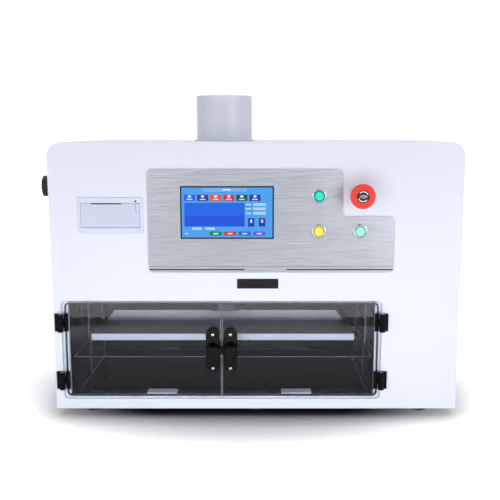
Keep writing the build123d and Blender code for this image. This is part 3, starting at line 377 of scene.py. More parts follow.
def block(mesh, low, high, index=0):
    """A box between two corners."""
    low, high = Vector(low), Vector(high)
    matrix = Matrix.Translation((low + high) / 2) @ Matrix.Diagonal((*(high - low), 1))
    made = bmesh.ops.create_cube(mesh, size=1.0, matrix=matrix)
    for face in {f for v in made["verts"] for f in v.link_faces}:
        face.material_index = index


def turn_to(axis):
    """The rotation that carries +Z to an axis."""
    return Vector((0, 0, 1)).rotation_difference(Vector(axis)).to_matrix().to_4x4()


def edges_of(made):
    """The edges at the vertices that an operator has made."""
    return list({e for v in made["verts"] for e in v.link_edges})


def disc(mesh, base, axis, radius, length, segments, soften=0.0):
    """A round bar from base along axis, its far rim rounded by soften."""
    axis = Vector(axis).normalized()
    made = bmesh.ops.create_cone(
        mesh,
        cap_ends=True,
        cap_tris=False,
        segments=segments,
        radius1=radius,
        radius2=radius,
        depth=length,
        matrix=Matrix.Translation(Vector(base) + axis * length / 2) @ turn_to(axis),
    )
    if not soften:
        return
    far = max(v.co.dot(axis) for v in made["verts"])
    rim = [e for e in edges_of(made) if all(far - v.co.dot(axis) < 1e-6 for v in e.verts)]
    bmesh.ops.bevel(
        mesh,
        geom=rim,
        offset=soften,
        offset_type="OFFSET",
        segments=3,
        profile=0.5,
        affect="EDGES",
        material=-1,
    )


def socket_screw(mesh, base, axis, radius):
    """A button head with a hexagon socket, joined up from rings."""
    axis = Vector(axis).normalized()
    turn = turn_to(axis)
    height = radius * 0.55
    rings = (
        # corners, radius, height: the rim, the dome, then the socket
        (24, radius, 0.0),
        (24, radius, height * 0.35),
        (24, radius * 0.86, height * 0.8),
        (24, radius * 0.62, height),
        (6, radius * 0.42, height),
        (6, radius * 0.42, height * 0.35),
    )
    loops = []
    for count, size, rise in rings:
        matrix = Matrix.Translation(Vector(base) + axis * rise) @ turn
        made = bmesh.ops.create_circle(
            mesh, cap_ends=False, segments=count, radius=size, matrix=matrix
        )
        loops.append(edges_of(made))
    for near, far in zip(loops, loops[1:]):
        bmesh.ops.bridge_loops(mesh, edges=near + far)
    bmesh.ops.contextual_create(mesh, geom=loops[-1])
    bmesh.ops.contextual_create(mesh, geom=loops[0])


def band(mesh, centre, axis, inner, outer, start, sweep, index):
    """A flat arc, part of a ring that faces along axis."""
    axis, centre = Vector(axis).normalized(), Vector(centre)
    first = Matrix.Rotation(start, 3, axis) @ (turn_to(axis) @ Vector((1, 0, 0)))
    verts = [mesh.verts.new(centre + first * r) for r in (inner, outer)]
    edge = mesh.edges.new(verts)
    before = set(mesh.faces)
    bmesh.ops.spin(
        mesh,
        geom=verts + [edge],
        cent=centre,
        axis=axis,
        angle=sweep,
        steps=24,
        use_merge=False,
    )
    for face in set(mesh.faces) - before:
        face.material_index = index


def spun(mesh, centre, axis, profile_mm, segments=48):
    """A ring turned about an axis from its closed section of (radius, height) corners."""
    axis, centre = Vector(axis).normalized(), Vector(centre)
    out = turn_to(axis).to_3x3() @ Vector((1, 0, 0))
    verts = [mesh.verts.new(centre + out * r * MM + axis * h * MM) for r, h in profile_mm]
    edges = [mesh.edges.new((a, b)) for a, b in zip(verts, verts[1:] + verts[:1])]
    bmesh.ops.spin(
        mesh,
        geom=verts + edges,
        cent=centre,
        axis=axis,
        angle=2 * pi,
        steps=segments,
        use_merge=True,
    )


# --- Sizes and colours that a user would change ---------------------------------------------


class PressFinishes(bpy.types.PropertyGroup):
    """Colours of the main finishes."""

    cabinet: FloatVectorProperty(
        name="Cabinet",
        description="Powder coat of the cabinet and the roof tube",
        subtype="COLOR",
        size=4,
        min=0,
        max=1,
        default=linear("E4E8F5"),
    )
    printer: FloatVectorProperty(
        name="Printer",
        description="Plastic of the panel printer",
        subtype="COLOR",
        size=4,
        min=0,
        max=1,
        default=linear("CDD2E6"),
    )
    stop: FloatVectorProperty(
        name="Emergency stop",
        description="Plastic of the mushroom head",
        subtype="COLOR",
        size=4,
        min=0,
        max=1,
        default=linear("F0443A"),
    )
    acrylic: FloatVectorProperty(
        name="Acrylic",
        description="Tint of the doors and the splash tray",
        subtype="COLOR",
        size=4,
        min=0,
        max=1,
        default=linear("F6F8FC"),
    )
    screen_glow: FloatProperty(
        name="Screen glow",
        description="Brightness of the lit display",
        default=1.0,
        min=0,
        max=3,
    )


class PressFittings(bpy.types.PropertyGroup):
    """Sizes of the small fittings."""

    latch_screw: FloatProperty(
        name="Latch screws",
        description="Head diameter of the latch plates' screws",
        default=5.2 * MM,
        unit="LENGTH",
    )
    latch_screw_pitch: FloatProperty(
        name="Latch screw pitch",
        description="Height between the two screws of a latch plate",
        default=58.5 * MM,
        unit="LENGTH",
    )
    panel_screw: FloatProperty(
        name="Panel screws",
        description="Head diameter of the screws in the rear and chamber panels",
        default=7 * MM,
        unit="LENGTH",
    )
    plate_line: FloatProperty(
        name="Plate line",
        description="Height of the dark line near the control plate's lower edge",
        default=2.2 * MM,
        unit="LENGTH",
    )


class PressStudio(bpy.types.PropertyGroup):
    """The camera and the lights."""

    camera_distance: FloatProperty(
        name="Camera distance",
        description="From the camera to the cabinet's front face",
        default=1.228,
        unit="LENGTH",
    )
    camera_rise: FloatProperty(
        name="Camera rise",
        description="Height of the camera above the cabinet's lower edge",
        default=0.4647,
        unit="LENGTH",
    )
    camera_pitch: FloatProperty(
        name="Camera pitch",
        description="How far the camera looks down",
        default=radians(8.84),
        subtype="ANGLE",
    )
    focal_pixels: FloatProperty(
        name="Focal length in pixels",
        description="Focal length for a picture 500 pixels wide",
        default=752.0,
    )
    soft_light: FloatProperty(
        name="Soft light",
        description="Power of the large lamp overhead",
        default=10.6,
        unit="POWER",
    )
    left_light: FloatProperty(
        name="Left light",
        description="Power of the lamp to the left of the camera",
        default=5.4,
        unit="POWER",
    )
    right_light: FloatProperty(
        name="Right light",
        description="Power of the lamp to the right of the camera",
        default=8.5,
        unit="POWER",
    )
    low_light: FloatProperty(
        name="Low light",
        description="Power of the long lamp near the floor, which lifts the cabinet's lower edge",
        default=2.1,
        unit="POWER",
    )
    room_light: FloatProperty(
        name="Room light",
        description="Strength of the even light from all round",
        default=0.43,
    )


# --- Pieces --------------------------------------------------------------------------------


class PRESS_OT_cabinet(bpy.types.Operator):
    """Powder coat on the cabinet and tube, rubber feet, and the rear panel's screws"""

    bl_idname = "press.cabinet"
    bl_label = "Cabinet"

    def execute(self, context):
        colours = context.scene.press_finishes
        sizes = context.scene.press_fittings
        assign(powder_coat("White powder coat", colours.cabinet), "cabinet_shell", "tube_cover")
        assign(powder_coat("White powder coat, rear", colours.cabinet, 0.45), "rear_panel")
        assign(powder_coat("Black powder coat", linear("1B1C1F"), 0.5), "base_plate", "drive_motor")
        assign(soft_rubber("Black rubber"), "rubber_feet", "door_seal", "drive_belt")
        zinc = zinc_plate("Zinc-plated steel")
        assign(zinc, "frame_bolts", "frame_posts", "crosshead_plate", "hinge_pins")
        low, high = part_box("rear_panel")
        side_in, foot_in, top_in = 9 * MM, 40 * MM, 30 * MM
        mid_x, mid_z = (low.x + high.x) / 2, (low.z + high.z) / 2
        screws = bmesh.new()
        for x in (low.x + side_in, mid_x, high.x - side_in):
            for z in (low.z + foot_in, mid_z, high.z - top_in):
                if (x, z) != (mid_x, mid_z):
                    socket_screw(screws, (x, high.y, z), REAR, sizes.panel_screw / 2)
        finish_piece(screws, "rear_panel_screws", [zinc], "machine")
        return {"FINISHED"}


class PRESS_OT_chamber(bpy.types.Operator):
    """Dark polished sheet in the chamber, the floor plate, the sill, the pads and the tray"""

    bl_idname = "press.chamber"
    bl_label = "Chamber"

    def execute(self, context):
        colours = context.scene.press_finishes
        sizes = context.scene.press_fittings
        dark = mirror_sheet(
            "Dark polished steel sheet", linear("33353A"), linear("44464C"), 0.16, (1, 1, 40)
        )
        assign(dark, "chamber_liner", "chamber_back_panel")
        floor = mirror_sheet(
            "Polished steel floor", linear("464A54"), linear("565A65"), 0.1, (60, 1, 1)
        )
        assign(floor, "lower_platen")
        pale = brushed_sheet(
            "Brushed steel trim", linear("9EA2AC"), linear("B9BDC6"), 0.25, (60, 1, 1)
        )
        assign(pale, "front_sill")
        assign(dark, "wall_strips")
        self.wall_highlight_bars()
        self.tray_edge_highlights()
        assign(moulded_plastic("White nylon", linear("DDDCF0"), 0.45, 0.8), "nylon_pads")
        assign(clear_acrylic("Clear acrylic, tray", colours.acrylic, 1.15), "splash_tray")
        low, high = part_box("chamber_back_panel")
        screw_in = 14 * MM
        screws = bmesh.new()
        for x in (low.x + screw_in, (low.x + high.x) / 2, high.x - screw_in):
            for z in (low.z + screw_in, high.z - screw_in):
                socket_screw(screws, (x, low.y, z), FRONT, sizes.panel_screw / 2)
        finish_piece(screws, "back_panel_screws", [zinc_plate("Zinc-plated screws")], "machine")
        return {"FINISHED"}

    def wall_highlight_bars(self):
        """Painted highlights: slim bright bars on the side walls' strips and down the chamber's
        front edges.
        """
        low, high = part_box("wall_strips")
        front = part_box("chamber_liner")[0].y
        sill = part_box("front_sill")[1]
        strip_t, bar_w, proud = 2.5 * MM, 13 * MM, 0.5 * MM
        edge_w, edge_t = 8 * MM, 2.6 * MM
        # Where the bars of the left and right walls start, in mm behind the strips' front.
        starts = {-1: (41, 167), 1: (1, 128)}
        bars = bmesh.new()
        for side, places in starts.items():
            wall = low.x if side < 0 else high.x
            inner = wall - side * strip_t
            near, far = sorted((inner, inner - side * proud))
            for start in places:
                y = low.y + start * MM
                block(bars, (near, y, low.z), (far, y + bar_w, high.z))
            near, far = sorted((wall, wall - side * edge_t))
            block(bars, (near, front, sill.z), (far, front + edge_w, high.z))
        # Pale lacquer bars paint the bright reflections of the polished walls and front edges.
        trim = highlight_lacquer("Painted highlight lacquer, chamber walls", linear("E6EAF6"))
        finish_piece(bars, "wall_highlight_bars", [trim], "machine")

    def tray_edge_highlights(self):
        """The tray's sawn and bonded edges as thin white lines: their own whiteness plus painted
        highlights.
        """
        low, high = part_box("splash_tray")
        wide, thin, wall_t = 0.9 * MM, 0.25 * MM, 4 * MM
        edges = bmesh.new()
        for inset, z in ((0, high.z), (wall_t, low.z + wall_t)):
            left, right = low.x + inset, high.x - inset
            front, back = low.y + inset, high.y - inset
            for x in (left, right - wide):
                block(edges, (x, front, z), (x + wide, back, z + thin))
            for y in (front, back - wide):
                block(edges, (left, y, z), (right, y + wide, z + thin))
        edge = sawn_edge_highlight("Sawn edge and painted highlight, tray", linear("C9D0DF"))
        finish_piece(edges, "tray_edge_highlights", [edge], "machine")


class PRESS_OT_doors(bpy.types.Operator):
    """Clear doors, black hinges and the latch pair with its bright screws"""

    bl_idname = "press.doors"
    bl_label = "Doors"

    def execute(self, context):
        colours = context.scene.press_finishes
        sizes = context.scene.press_fittings
        acrylic = clear_acrylic("Clear acrylic, doors", colours.acrylic, 1.28)
        assign(acrylic, "left_door_leaf", "right_door_leaf")
        black = moulded_plastic("Black nylon hinge", linear("060608"), 0.55, 0.9, 0.04, 0.1)
        assign(black, "cabinet_hinge_leaves", "left_hinge_leaves", "right_hinge_leaves")
        gloss = gloss_plastic("Black gloss latch plastic", linear("050506"), 0.16, 0.18)
        assign(gloss, "left_latch_plate", "right_latch_plate", "latch_turn_knob")
        assign(zinc_plate("Zinc-plated bolt"), "latch_bolt")
        bright = chrome_plate("Chromed screws")
        edge = sawn_edge_highlight("Sawn edge and painted highlight, doors", linear("878C99"))
        plate_t, screw_in, screw_drop = 5 * MM, 11.5 * MM, 3 * MM
        edge_w, edge_proud, edge_deep = 0.9 * MM, 0.05 * MM, 0.5 * MM
        for side, inward in (("left", 1), ("right", -1)):
            low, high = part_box(f"{side}_latch_plate")
            leaf_low, leaf_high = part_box(f"{side}_door_leaf")
            outer, seam = (low.x, leaf_high.x) if inward > 0 else (high.x, leaf_low.x)
            mid_z = (low.z + high.z) / 2 - screw_drop
            screws = bmesh.new()
            for lift in (-0.5, 0.5):
                place = (
                    outer + inward * screw_in,
                    leaf_low.y - plate_t,
                    mid_z + lift * sizes.latch_screw_pitch,
                )
                socket_screw(screws, place, FRONT, sizes.latch_screw / 2)
            finish_piece(screws, f"{side}_latch_screws", [bright], f"{side}_door")
            # A pale strip at the seam: the sawn edge's own whiteness plus a painted highlight along
            # it.
            near, far = sorted((seam, seam - inward * edge_w))
            strip = bmesh.new()
            block(
                strip,
                (near, leaf_low.y - edge_proud, leaf_low.z),
                (far, leaf_low.y + edge_deep, leaf_high.z),
            )
            finish_piece(strip, f"{side}_door_edge_highlight", [edge], f"{side}_door")
        return {"FINISHED"}


class PRESS_OT_ram(bpy.types.Operator):
    """Machined platen and beam, load cell, guide rods and the threaded screw"""

    bl_idname = "press.ram"
    bl_label = "Ram"

    def execute(self, context):
        platen = machined_metal(
            "Machined aluminium platen", linear("A3A8B7"), linear("B7BBC8"), 0.42, 1.5, (40, 1, 1)
        )
        assign(platen, "upper_platen")
        beam = machined_metal(
            "Milled aluminium beam", linear("8A8D94"), linear("9A9DA5"), 0.4, 1.2, (40, 1, 1)
        )
        assign(beam, "spreader_beam")
        oxide = machined_metal("Blackened load cell steel", linear("3A3C42"), linear("4A4D54"), 0.4)
        assign(oxide, "load_cell")
        assign(zinc_plate("Hard-chromed rods"), "guide_rods")
        assign(threaded_steel("Ground screw steel", 5), "lead_screw")
        return {"FINISHED"}


class PRESS_OT_drive(bpy.types.Operator):
    """Finishes of the drive, the supply and the controller inside the cabinet"""

    bl_idname = "press.drive"
    bl_label = "Drive"

    def execute(self, context):
        bronze = machined_metal("Turned bronze", linear("A8803F"), linear("C09A58"), 0.3)
        assign(bronze, "drive_nut", "guide_bushings")
        bare = machined_metal("Bare aluminium", linear("B4B6BA"), linear("C8CACE"), 0.38)
        assign(bare, "motor_pulley", "power_supply")
        assign(cast_iron("Grey cast iron"), "nut_housing")
        assign(zinc_plate("Bearing steel"), "nut_bearings")
        assign(board_laminate("Circuit board laminate"), "controller_board")
        return {"FINISHED"}


class PRESS_OT_control_plate(bpy.types.Operator):
    """Brushed plate with its lower line, the bezels, lenses and the bare nameplate"""

    bl_idname = "press.control_plate"
    bl_label = "Control plate"

    def execute(self, context):
        sizes = context.scene.press_fittings
        plate = brushed_sheet(
            "Brushed stainless plate", linear("D2D6E1"), linear("E2E6EF"), 0.3, (90, 1, 1), 0.6
        )
        assign(plate, "control_plate")
        chrome = chrome_plate("Chromed bezel")
        assign(chrome, "button_bezels")
        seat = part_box("button_bezels")[1].y
        bezel_section = (
            (8.05, 0),
            (12.5, 0),
            (12.5, 0.9),
            (12.1, 1.9),
            (11.3, 2.6),
            (10.3, 2.95),
            (9.4, 2.6),
            (8.6, 1.7),
            (8.05, 0.8),
        )
        bezels = bmesh.new()
        for name in BUTTONS:
            low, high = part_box(f"{name}_button_cap")
            place = ((low.x + high.x) / 2, seat, (low.z + high.z) / 2)
            spun(bezels, place, FRONT, bezel_section, segments=64)
        rings = finish_piece(bezels, "turned_bezels", [chrome], "machine", smooth=True)
        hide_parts("button_bezels")
        black = moulded_plastic("Black polyamide", linear("101113"), 0.45, gloss=0.25)
        assign(black, "button_barrels", "estop_barrel", "estop_stem", "knob_socket")
        lenses = (
            ("Teal lens", "16B8A4", "2EE0CC", 0.35),
            ("Yellow lens", "E8C020", "FFF070", 0.5),
            ("Pale green lens", "6AD8A8", "A8F8D4", 0.5),
        )
        gasket_section = ((7.1, 0), (7.95, 0), (7.95, 0.45), (7.8, 0.6), (7.1, 0.6))
        gasket_sunk = 0.5 * MM
        for name, (lens, deep, lit, glow) in zip(BUTTONS, lenses):
            assign(lens_plastic(lens, linear(deep), linear(lit), glow), f"{name}_button_cap")
            low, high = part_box(f"{name}_button_cap")
            gasket = bmesh.new()
            place = ((low.x + high.x) / 2, low.y + gasket_sunk, (low.z + high.z) / 2)
            spun(gasket, place, FRONT, gasket_section)
            finish_piece(gasket, f"{name}_button_gasket", [black], f"{name}_button")
        dark = brushed_sheet(
            "Dark anodised plate", linear("2B2A2A"), linear("3E3C3B"), 0.4, (40, 1, 1)
        )
        assign(dark, "nameplate_blank")
        self.plate_lines(sizes.plate_line)
        return {"FINISHED"}

    def plate_lines(self, height):
        """The dark line near the plate's foot, broken in the middle, and a thin one over it."""
        low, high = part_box("control_plate")
        ink_t, side_in, thin_h = 0.06 * MM, 1.5 * MM, 0.6 * MM
        dark_z, thin_z = low.z + 5.2 * MM, low.z + 10.2 * MM
        left, right = low.x + side_in, high.x - side_in
        gap_left, gap_right = low.x + 159 * MM, low.x + 228 * MM
        lines = bmesh.new()
        for first, last, z, thick in (
            (left, gap_left, dark_z, height),
            (gap_right, right, dark_z, height),
            (left, right, thin_z, thin_h),
        ):
            block(lines, (first, low.y - ink_t, z - thick / 2), (last, low.y, z + thick / 2))
        ink = printed_ink("Dark grey ink", linear("2C3038"))
        finish_piece(lines, "plate_lines", [ink], "machine")


class PRESS_OT_screen(bpy.types.Operator):
    """The lit display: a chart, six tiles, fields and buttons, without words"""

    bl_idname = "press.screen"
    bl_label = "Screen"

    def execute(self, context):
        glow = context.scene.press_finishes.screen_glow
        assign(gloss_plastic("Black display glass", linear("0A0B0E"), 0.08), "display_module")
        low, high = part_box("display_module")
        border = 2.0 * MM
        left, right = low.x + border, high.x - border
        bottom, top = low.z + border, high.z - border
        front = low.y + 0.4 * MM
        hues = {
            "sky": "4AA6FA",
            "bar": "7FB8F2",
            "chart": "1468F0",
            "deep": "0D55E4",
            "blue": "1E62E6",
            "indigo": "33319E",
            "orange": "EB5A2A",
            "red": "D92B3A",
            "green": "0D5A3A",
            "navy": "1B2FB0",
            "pale": "B5E0F8",
            "leaf": "12874A",
            "violet": "6E55DE",
            "white": "F2F7FF",
        }
        order = list(hues)
        finishes = [lit_pixels(f"Lit {key}", linear(hues[key]), glow) for key in order]
        picture = bmesh.new()

        def tile(u0, u1, v0, v1, hue, layer):
            """A flat tile, placed by shares of the picture's width and height from the top left."""
            block(
                picture,
                (left + u0 * (right - left), front - layer * 0.05 * MM, top - v1 * (top - bottom)),
                (left + u1 * (right - left), front, top - v0 * (top - bottom)),
                order.index(hue),
            )

        tile(0, 1, 0, 1, "sky", 1)
        tile(0.24, 0.72, 0.02, 0.085, "bar", 2)
        tile(0.45, 0.54, 0.035, 0.06, "white", 3)
        for n, hue in enumerate(("blue", "indigo", "orange", "red", "green", "navy")):
            start = 0.028 + n * 0.1435
            tile(start, start + 0.122, 0.144, 0.268, hue, 2)
            tile(start + 0.045, start + 0.077, 0.158, 0.2, "white", 3)
            tile(start + 0.03, start + 0.092, 0.228, 0.246, "white", 3)
        tile(0.031, 0.692, 0.305, 0.777, "chart", 2)
        tile(0.031, 0.692, 0.56, 0.777, "deep", 3)
        for v in (0.313, 0.397, 0.486):
            tile(0.786, 0.926, v, v + 0.052, "pale", 2)
            tile(0.705, 0.765, v + 0.016, v + 0.036, "white", 2)
        for u in (0.73, 0.85):
            tile(u, u + 0.07, 0.608, 0.777, "navy", 2)
            tile(u + 0.025, u + 0.045, 0.64, 0.7, "white", 3)
        for u in (0.115, 0.263):
            tile(u, u + 0.102, 0.794, 0.844, "pale", 2)
        for u, hue in ((0.308, "leaf"), (0.466, "red"), (0.625, "blue"), (0.786, "violet")):
            tile(u, u + 0.133, 0.876, 0.958, hue, 2)
            tile(u + 0.04, u + 0.095, 0.906, 0.93, "white", 3)
        tile(0.035, 0.07, 0.91, 0.93, "white", 2)
        finish_piece(picture, "screen_picture", finishes, "machine")
        return {"FINISHED"}


class PRESS_OT_stop(bpy.types.Operator):
    """The red mushroom head with its black disc, white arcs and bright centre"""

    bl_idname = "press.stop"
    bl_label = "Emergency stop"

    def execute(self, context):
        colours = context.scene.press_finishes
        assign(gloss_plastic("Red gloss plastic", colours.stop, 0.2), "estop_head")
        low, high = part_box("estop_head")
        x, face, z = (low.x + high.x) / 2, low.y, (low.z + high.z) / 2
        inlay_r, inlay_t, inlay_sunk = 10.2 * MM, 0.46 * MM, 0.5 * MM
        arc_in, arc_out, arc_start, arc_sweep = 7.1 * MM, 8.5 * MM, 0.35, 2.1
        oval_r, oval_t, oval_rim, oval_squash = 6.4 * MM, 0.4 * MM, 0.2 * MM, 0.42
        centre = bmesh.new()
        disc(centre, (x, face + inlay_sunk, z), FRONT, inlay_r, inlay_t, 48)
        for start in (arc_start, arc_start + pi):
            band(centre, (x, face, z), FRONT, arc_in, arc_out, start, arc_sweep, 1)
        lens = bmesh.new()
        disc(lens, (0, 0, 0), FRONT, oval_r, oval_t, 40, oval_rim)
        bmesh.ops.scale(lens, vec=(1, 1, oval_squash), verts=lens.verts)
        bmesh.ops.translate(lens, vec=(x, face + oval_t, z), verts=lens.verts)
        finish_piece(lens, "stop_lens", [zinc_plate("Bright centre")], "estop_mushroom")
        inks = [
            moulded_plastic("Black inlay", linear("121214"), 0.4),
            printed_ink("White ink", linear("F4F5F7")),
        ]
        finish_piece(centre, "stop_centre", inks, "estop_mushroom")
        return {"FINISHED"}


class PRESS_OT_printer(bpy.types.Operator):
    """The panel printer's grey plastic, paper and light"""

    bl_idname = "press.printer"
    bl_label = "Printer"

    def execute(self, context):
        colours = context.scene.press_finishes
        pale = tuple(min(1.0, c * 1.12) for c in colours.printer[:3]) + (1.0,)
        assign(moulded_plastic("Pale grey ABS, frame", pale, 0.4, 0.8), "printer_frame")
        door_finish = moulded_plastic("Pale grey ABS, door", colours.printer, 0.4, 0.8)
        assign(door_finish, "printer_door", "printer_lever")
        assign(coated_paper("Thermal paper"), "paper_roll")
        low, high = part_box("printer_frame")
        light_r, light_t, light_rim, light_sunk = 1.5 * MM, 0.5 * MM, 0.2 * MM, 0.2 * MM
        place = (low.x + 95.5 * MM, low.y + light_sunk, high.z - 6.2 * MM)
        light = bmesh.new()
        disc(light, place, FRONT, light_r, light_t, 24, light_rim)
        green = gloss_plastic("Dark green lens", linear("0E1A16"))
        finish_piece(light, "printer_light", [green], "machine")
        return {"FINISHED"}


class PRESS_OT_outside_controls(bpy.types.Operator):
    """The side knob and the mains inlet"""

    bl_idname = "press.outside_controls"
    bl_label = "Side knob and mains inlet"

    def execute(self, context):
        sizes = context.scene.press_fittings
        black = moulded_plastic("Black ABS", linear("151618"), 0.4, 0.7)
        assign(black, "side_knob", "mains_inlet", "mains_rocker")
        low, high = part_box("mains_inlet")
        mid_z = (low.z + high.z) / 2
        screw_in, screw_sunk, screw_r = 5.5 * MM, 1.6 * MM, sizes.panel_screw * 0.4
        screws = bmesh.new()
        for x in (low.x + screw_in, high.x - screw_in):
            socket_screw(screws, (x, high.y - screw_sunk, mid_z), REAR, screw_r)
        finish_piece(screws, "inlet_screws", [zinc_plate("Zinc screws")], "machine")
        return {"FINISHED"}


class PRESS_OT_studio(bpy.types.Operator):
    """A pale floor, soft lamps, a white surround and the camera"""

    bl_idname = "press.studio"
    bl_label = "Studio"

    def execute(self, context):
        scene = context.scene
        studio = scene.press_studio
        scene.view_settings.view_transform = "Standard"
        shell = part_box("cabinet_shell")
        self.add_floor(scene, shell)
        self.add_surround(scene, studio.room_light)
        self.add_lamps(scene, studio)
        self.add_camera(scene, studio, shell)
        return {"FINISHED"}

    def add_floor(self, scene, shell):
        mesh = bmesh.new()
        bmesh.ops.create_grid(mesh, x_segments=1, y_segments=1, size=15)
        data = bpy.data.meshes.new("studio_floor")
        mesh.to_mesh(data)
        mesh.free()
        data.materials.append(self.floor_paper(shell))
        floor = bpy.data.objects.new("studio_floor", data)
        scene.collection.objects.link(floor)

    def floor_paper(self, shell):
        """Pale paper, white to the camera except for real and painted shade near the machine."""
        shadow_margin, shade_reach, shade_power = 0.12, 0.06, 1.6
        paper, painted_shade_colour = linear("F4F5F8"), linear("101114")
        pale = bpy.data.materials.new("Pale paper floor")
        pale.use_nodes = True
        tree = pale.node_tree
        tree.nodes.remove(tree.nodes["Principled BSDF"])
        path = add_node(tree, "ShaderNodeLightPath")
        plain = add_node(tree, "ShaderNodeBsdfDiffuse", sockets={"Color": paper})
        place = add_node(tree, "ShaderNodeTexCoord")
        half = (shell[1] - shell[0]) / 2
        mapping = add_node(
            tree,
            "ShaderNodeMapping",
            sockets={"Scale": (1 / (half.x + shadow_margin), 1 / (half.y + shadow_margin), 1)},
            links={"Vector": (place, "Object")},
        )
        reach = add_node(
            tree,
            "ShaderNodeVectorMath",
            settings={"operation": "LENGTH"},
            links={0: (mapping, "Vector")},
        )
        # The white glow is left out beside the machine, so that the floor keeps its shadow;
        # the fade itself also paints a ring of shade around the machine.
        fade = add_node(
            tree,
            "ShaderNodeMapRange",
            settings={"interpolation_type": "SMOOTHSTEP"},
            sockets={"From Min": 0.6, "From Max": 1.3, "To Min": 0.0, "To Max": 1.0},
            links={"Value": (reach, "Value")},
        )
        glow = add_node(
            tree,
            "ShaderNodeEmission",
            sockets={"Color": linear("FFFFFF")},
            links={"Strength": (fade, "Result")},
        )
        # Painted shade: occlusion pulls the floor's colour to near black under and beside the
        # machine.
        near = add_node(
            tree,
            "ShaderNodeAmbientOcclusion",
            settings={"samples": 8},
            sockets={"Distance": shade_reach},
        )
        deeper = add_node(
            tree,
            "ShaderNodeMath",
            settings={"operation": "POWER"},
            sockets={1: shade_power},
            links={0: (near, "AO")},
        )
        shaded = add_node(
            tree,
            "ShaderNodeMix",
            settings={"data_type": "RGBA"},
            sockets={6: painted_shade_colour, 7: paper},
            links={0: (deeper, 0)},
        )
        under = add_node(tree, "ShaderNodeBsdfDiffuse", links={"Color": (shaded, 2)})
        seen = add_node(tree, "ShaderNodeAddShader", links={0: (under, 0), 1: (glow, 0)})
        mix = add_node(
            tree,
            "ShaderNodeMixShader",
            links={0: (path, "Is Camera Ray"), 1: (plain, 0), 2: (seen, 0)},
        )
        tree.links.new(mix.outputs[0], tree.nodes["Material Output"].inputs["Surface"])
        return pale

    def add_surround(self, scene, room_light):
        """White to the camera and through glass, and an even dimmer light on the object."""
        world = bpy.data.worlds.new("White surround")
        scene.world = world
        world.use_nodes = True
        tree = world.node_tree

        path = add_node(tree, "ShaderNodeLightPath")
        seen = add_node(
            tree,
            "ShaderNodeMath",
            settings={"operation": "MAXIMUM"},
            links={0: (path, "Is Camera Ray"), 1: (path, "Is Transmission Ray")},
        )
        # Gloss sees a dimmer room in front of the machine and the white surround behind it.
        way = add_node(tree, "ShaderNodeTexCoord")
        parts = add_node(tree, "ShaderNodeSeparateXYZ", links={0: (way, "Generated")})
        aside = add_node(
            tree, "ShaderNodeMath", settings={"operation": "ABSOLUTE"}, links={0: (parts, "X")}
        )
        ahead = add_node(
            tree,
            "ShaderNodeMapRange",
            sockets={"From Min": 0.0, "From Max": 0.45, "To Min": 0.1, "To Max": 0.95},
            links={"Value": (aside, 0)},
        )
        behind = add_node(
            tree,
            "ShaderNodeMapRange",
            sockets={"From Min": -0.6, "From Max": 0.2, "To Max": 1.0},
            links={"Value": (parts, "Y"), "To Min": (ahead, "Result")},
        )
        mirrored = add_node(
            tree,
            "ShaderNodeMath",
            settings={"operation": "MULTIPLY"},
            links={0: (path, "Is Glossy Ray"), 1: (behind, "Result")},
        )
        either = add_node(
            tree,
            "ShaderNodeMath",
            settings={"operation": "MAXIMUM"},
            links={0: (seen, 0), 1: (mirrored, 0)},
        )
        strength = add_node(
            tree,
            "ShaderNodeMath",
            settings={"operation": "MAXIMUM"},
            sockets={1: room_light},
            links={0: (either, 0)},
        )
        background = tree.nodes["Background"]
        tree.links.new(strength.outputs[0], background.inputs["Strength"])
        background.inputs["Color"].default_value = (1, 1, 1, 1)

    def add_lamps(self, scene, studio):
        """One long lamp low in front, a large one overhead and one on each side of the camera."""
        far, ahead, up = 1.3, -1.8, 0.45
        lamps = (
            # name, place, aim, width, height, power, seen in gloss
            ("low", (0, -0.78, 0.07), (0, 0, 0.04), 1.2, 0.1, studio.low_light, False),
            ("overhead", (0, 0.35, 1.9), (0, 0, 0.2), 1.8, 1.2, studio.soft_light, True),
            ("left", (-far, ahead, up), (0, 0, 0.15), 0.8, 0.9, studio.left_light, True),
            ("right", (far, ahead, up), (0, 0, 0.15), 0.8, 0.9, studio.right_light, True),
        )
        for name, place, aim, width, height, power, glossy in lamps:
            lit = bpy.data.lights.new(f"lamp_{name}", "AREA")
            lit.shape = "RECTANGLE"
            lit.size = width
            lit.size_y = height
            lit.energy = power
            holder = bpy.data.objects.new(f"lamp_{name}", lit)
            holder.location = place
            direction = Vector(aim) - Vector(place)
            holder.rotation_euler = direction.to_track_quat("-Z", "Y").to_euler()
            holder.visible_glossy = glossy
            scene.collection.objects.link(holder)

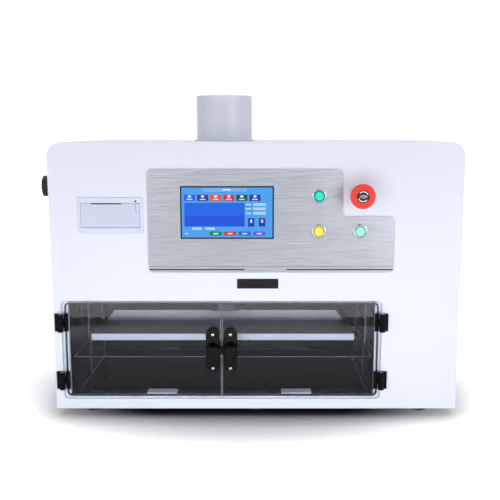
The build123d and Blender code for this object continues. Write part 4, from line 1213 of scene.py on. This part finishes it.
    def add_camera(self, scene, studio, shell):
        """The photograph's viewpoint, for a picture 500 pixels wide."""
        picture_w, sensor_w, shift_px = 500, 36, -6.1
        low, high = shell
        data = bpy.data.cameras.new("camera")
        data.sensor_fit = "HORIZONTAL"
        data.sensor_width = sensor_w
        data.lens = sensor_w * studio.focal_pixels / picture_w
        data.shift_x = shift_px / picture_w
        data.clip_end = 60
        camera = bpy.data.objects.new("camera", data)
        camera.location = (
            (low.x + high.x) / 2,
            low.y - studio.camera_distance,
            low.z + studio.camera_rise,
        )
        camera.rotation_euler = (pi / 2 - studio.camera_pitch, 0, 0)
        scene.collection.objects.link(camera)
        scene.camera = camera


STEPS = (
    PRESS_OT_cabinet,
    PRESS_OT_chamber,
    PRESS_OT_doors,
    PRESS_OT_ram,
    PRESS_OT_drive,
    PRESS_OT_control_plate,
    PRESS_OT_screen,
    PRESS_OT_stop,
    PRESS_OT_printer,
    PRESS_OT_outside_controls,
    PRESS_OT_studio,
)


class PRESS_PT_panel(bpy.types.Panel):
    """Lists the pieces and the values that shape them"""

    bl_idname = "PRESS_PT_panel"
    bl_label = "Compression tester"
    bl_space_type = "VIEW_3D"
    bl_region_type = "UI"
    bl_category = "Press"

    def draw(self, context):
        layout = self.layout
        for step in STEPS:
            layout.operator(step.bl_idname)
        for group in ("press_finishes", "press_fittings", "press_studio"):
            settings = getattr(context.scene, group)
            box = layout.box()
            for name in settings.__annotations__:
                box.prop(settings, name)


CLASSES = (PressFinishes, PressFittings, PressStudio, *STEPS, PRESS_PT_panel)


def register():
    for each in CLASSES:
        bpy.utils.register_class(each)
    bpy.types.Scene.press_finishes = PointerProperty(type=PressFinishes)
    bpy.types.Scene.press_fittings = PointerProperty(type=PressFittings)
    bpy.types.Scene.press_studio = PointerProperty(type=PressStudio)


def unregister():
    del bpy.types.Scene.press_studio
    del bpy.types.Scene.press_fittings
    del bpy.types.Scene.press_finishes
    for each in reversed(CLASSES):
        bpy.utils.unregister_class(each)


def main():
    register()
    bpy.ops.press.cabinet()
    bpy.ops.press.chamber()
    bpy.ops.press.doors()
    bpy.ops.press.ram()
    bpy.ops.press.drive()
    bpy.ops.press.control_plate()
    bpy.ops.press.screen()
    bpy.ops.press.stop()
    bpy.ops.press.printer()
    bpy.ops.press.outside_controls()
    bpy.ops.press.studio()


if __name__ == "__main__":
    main()
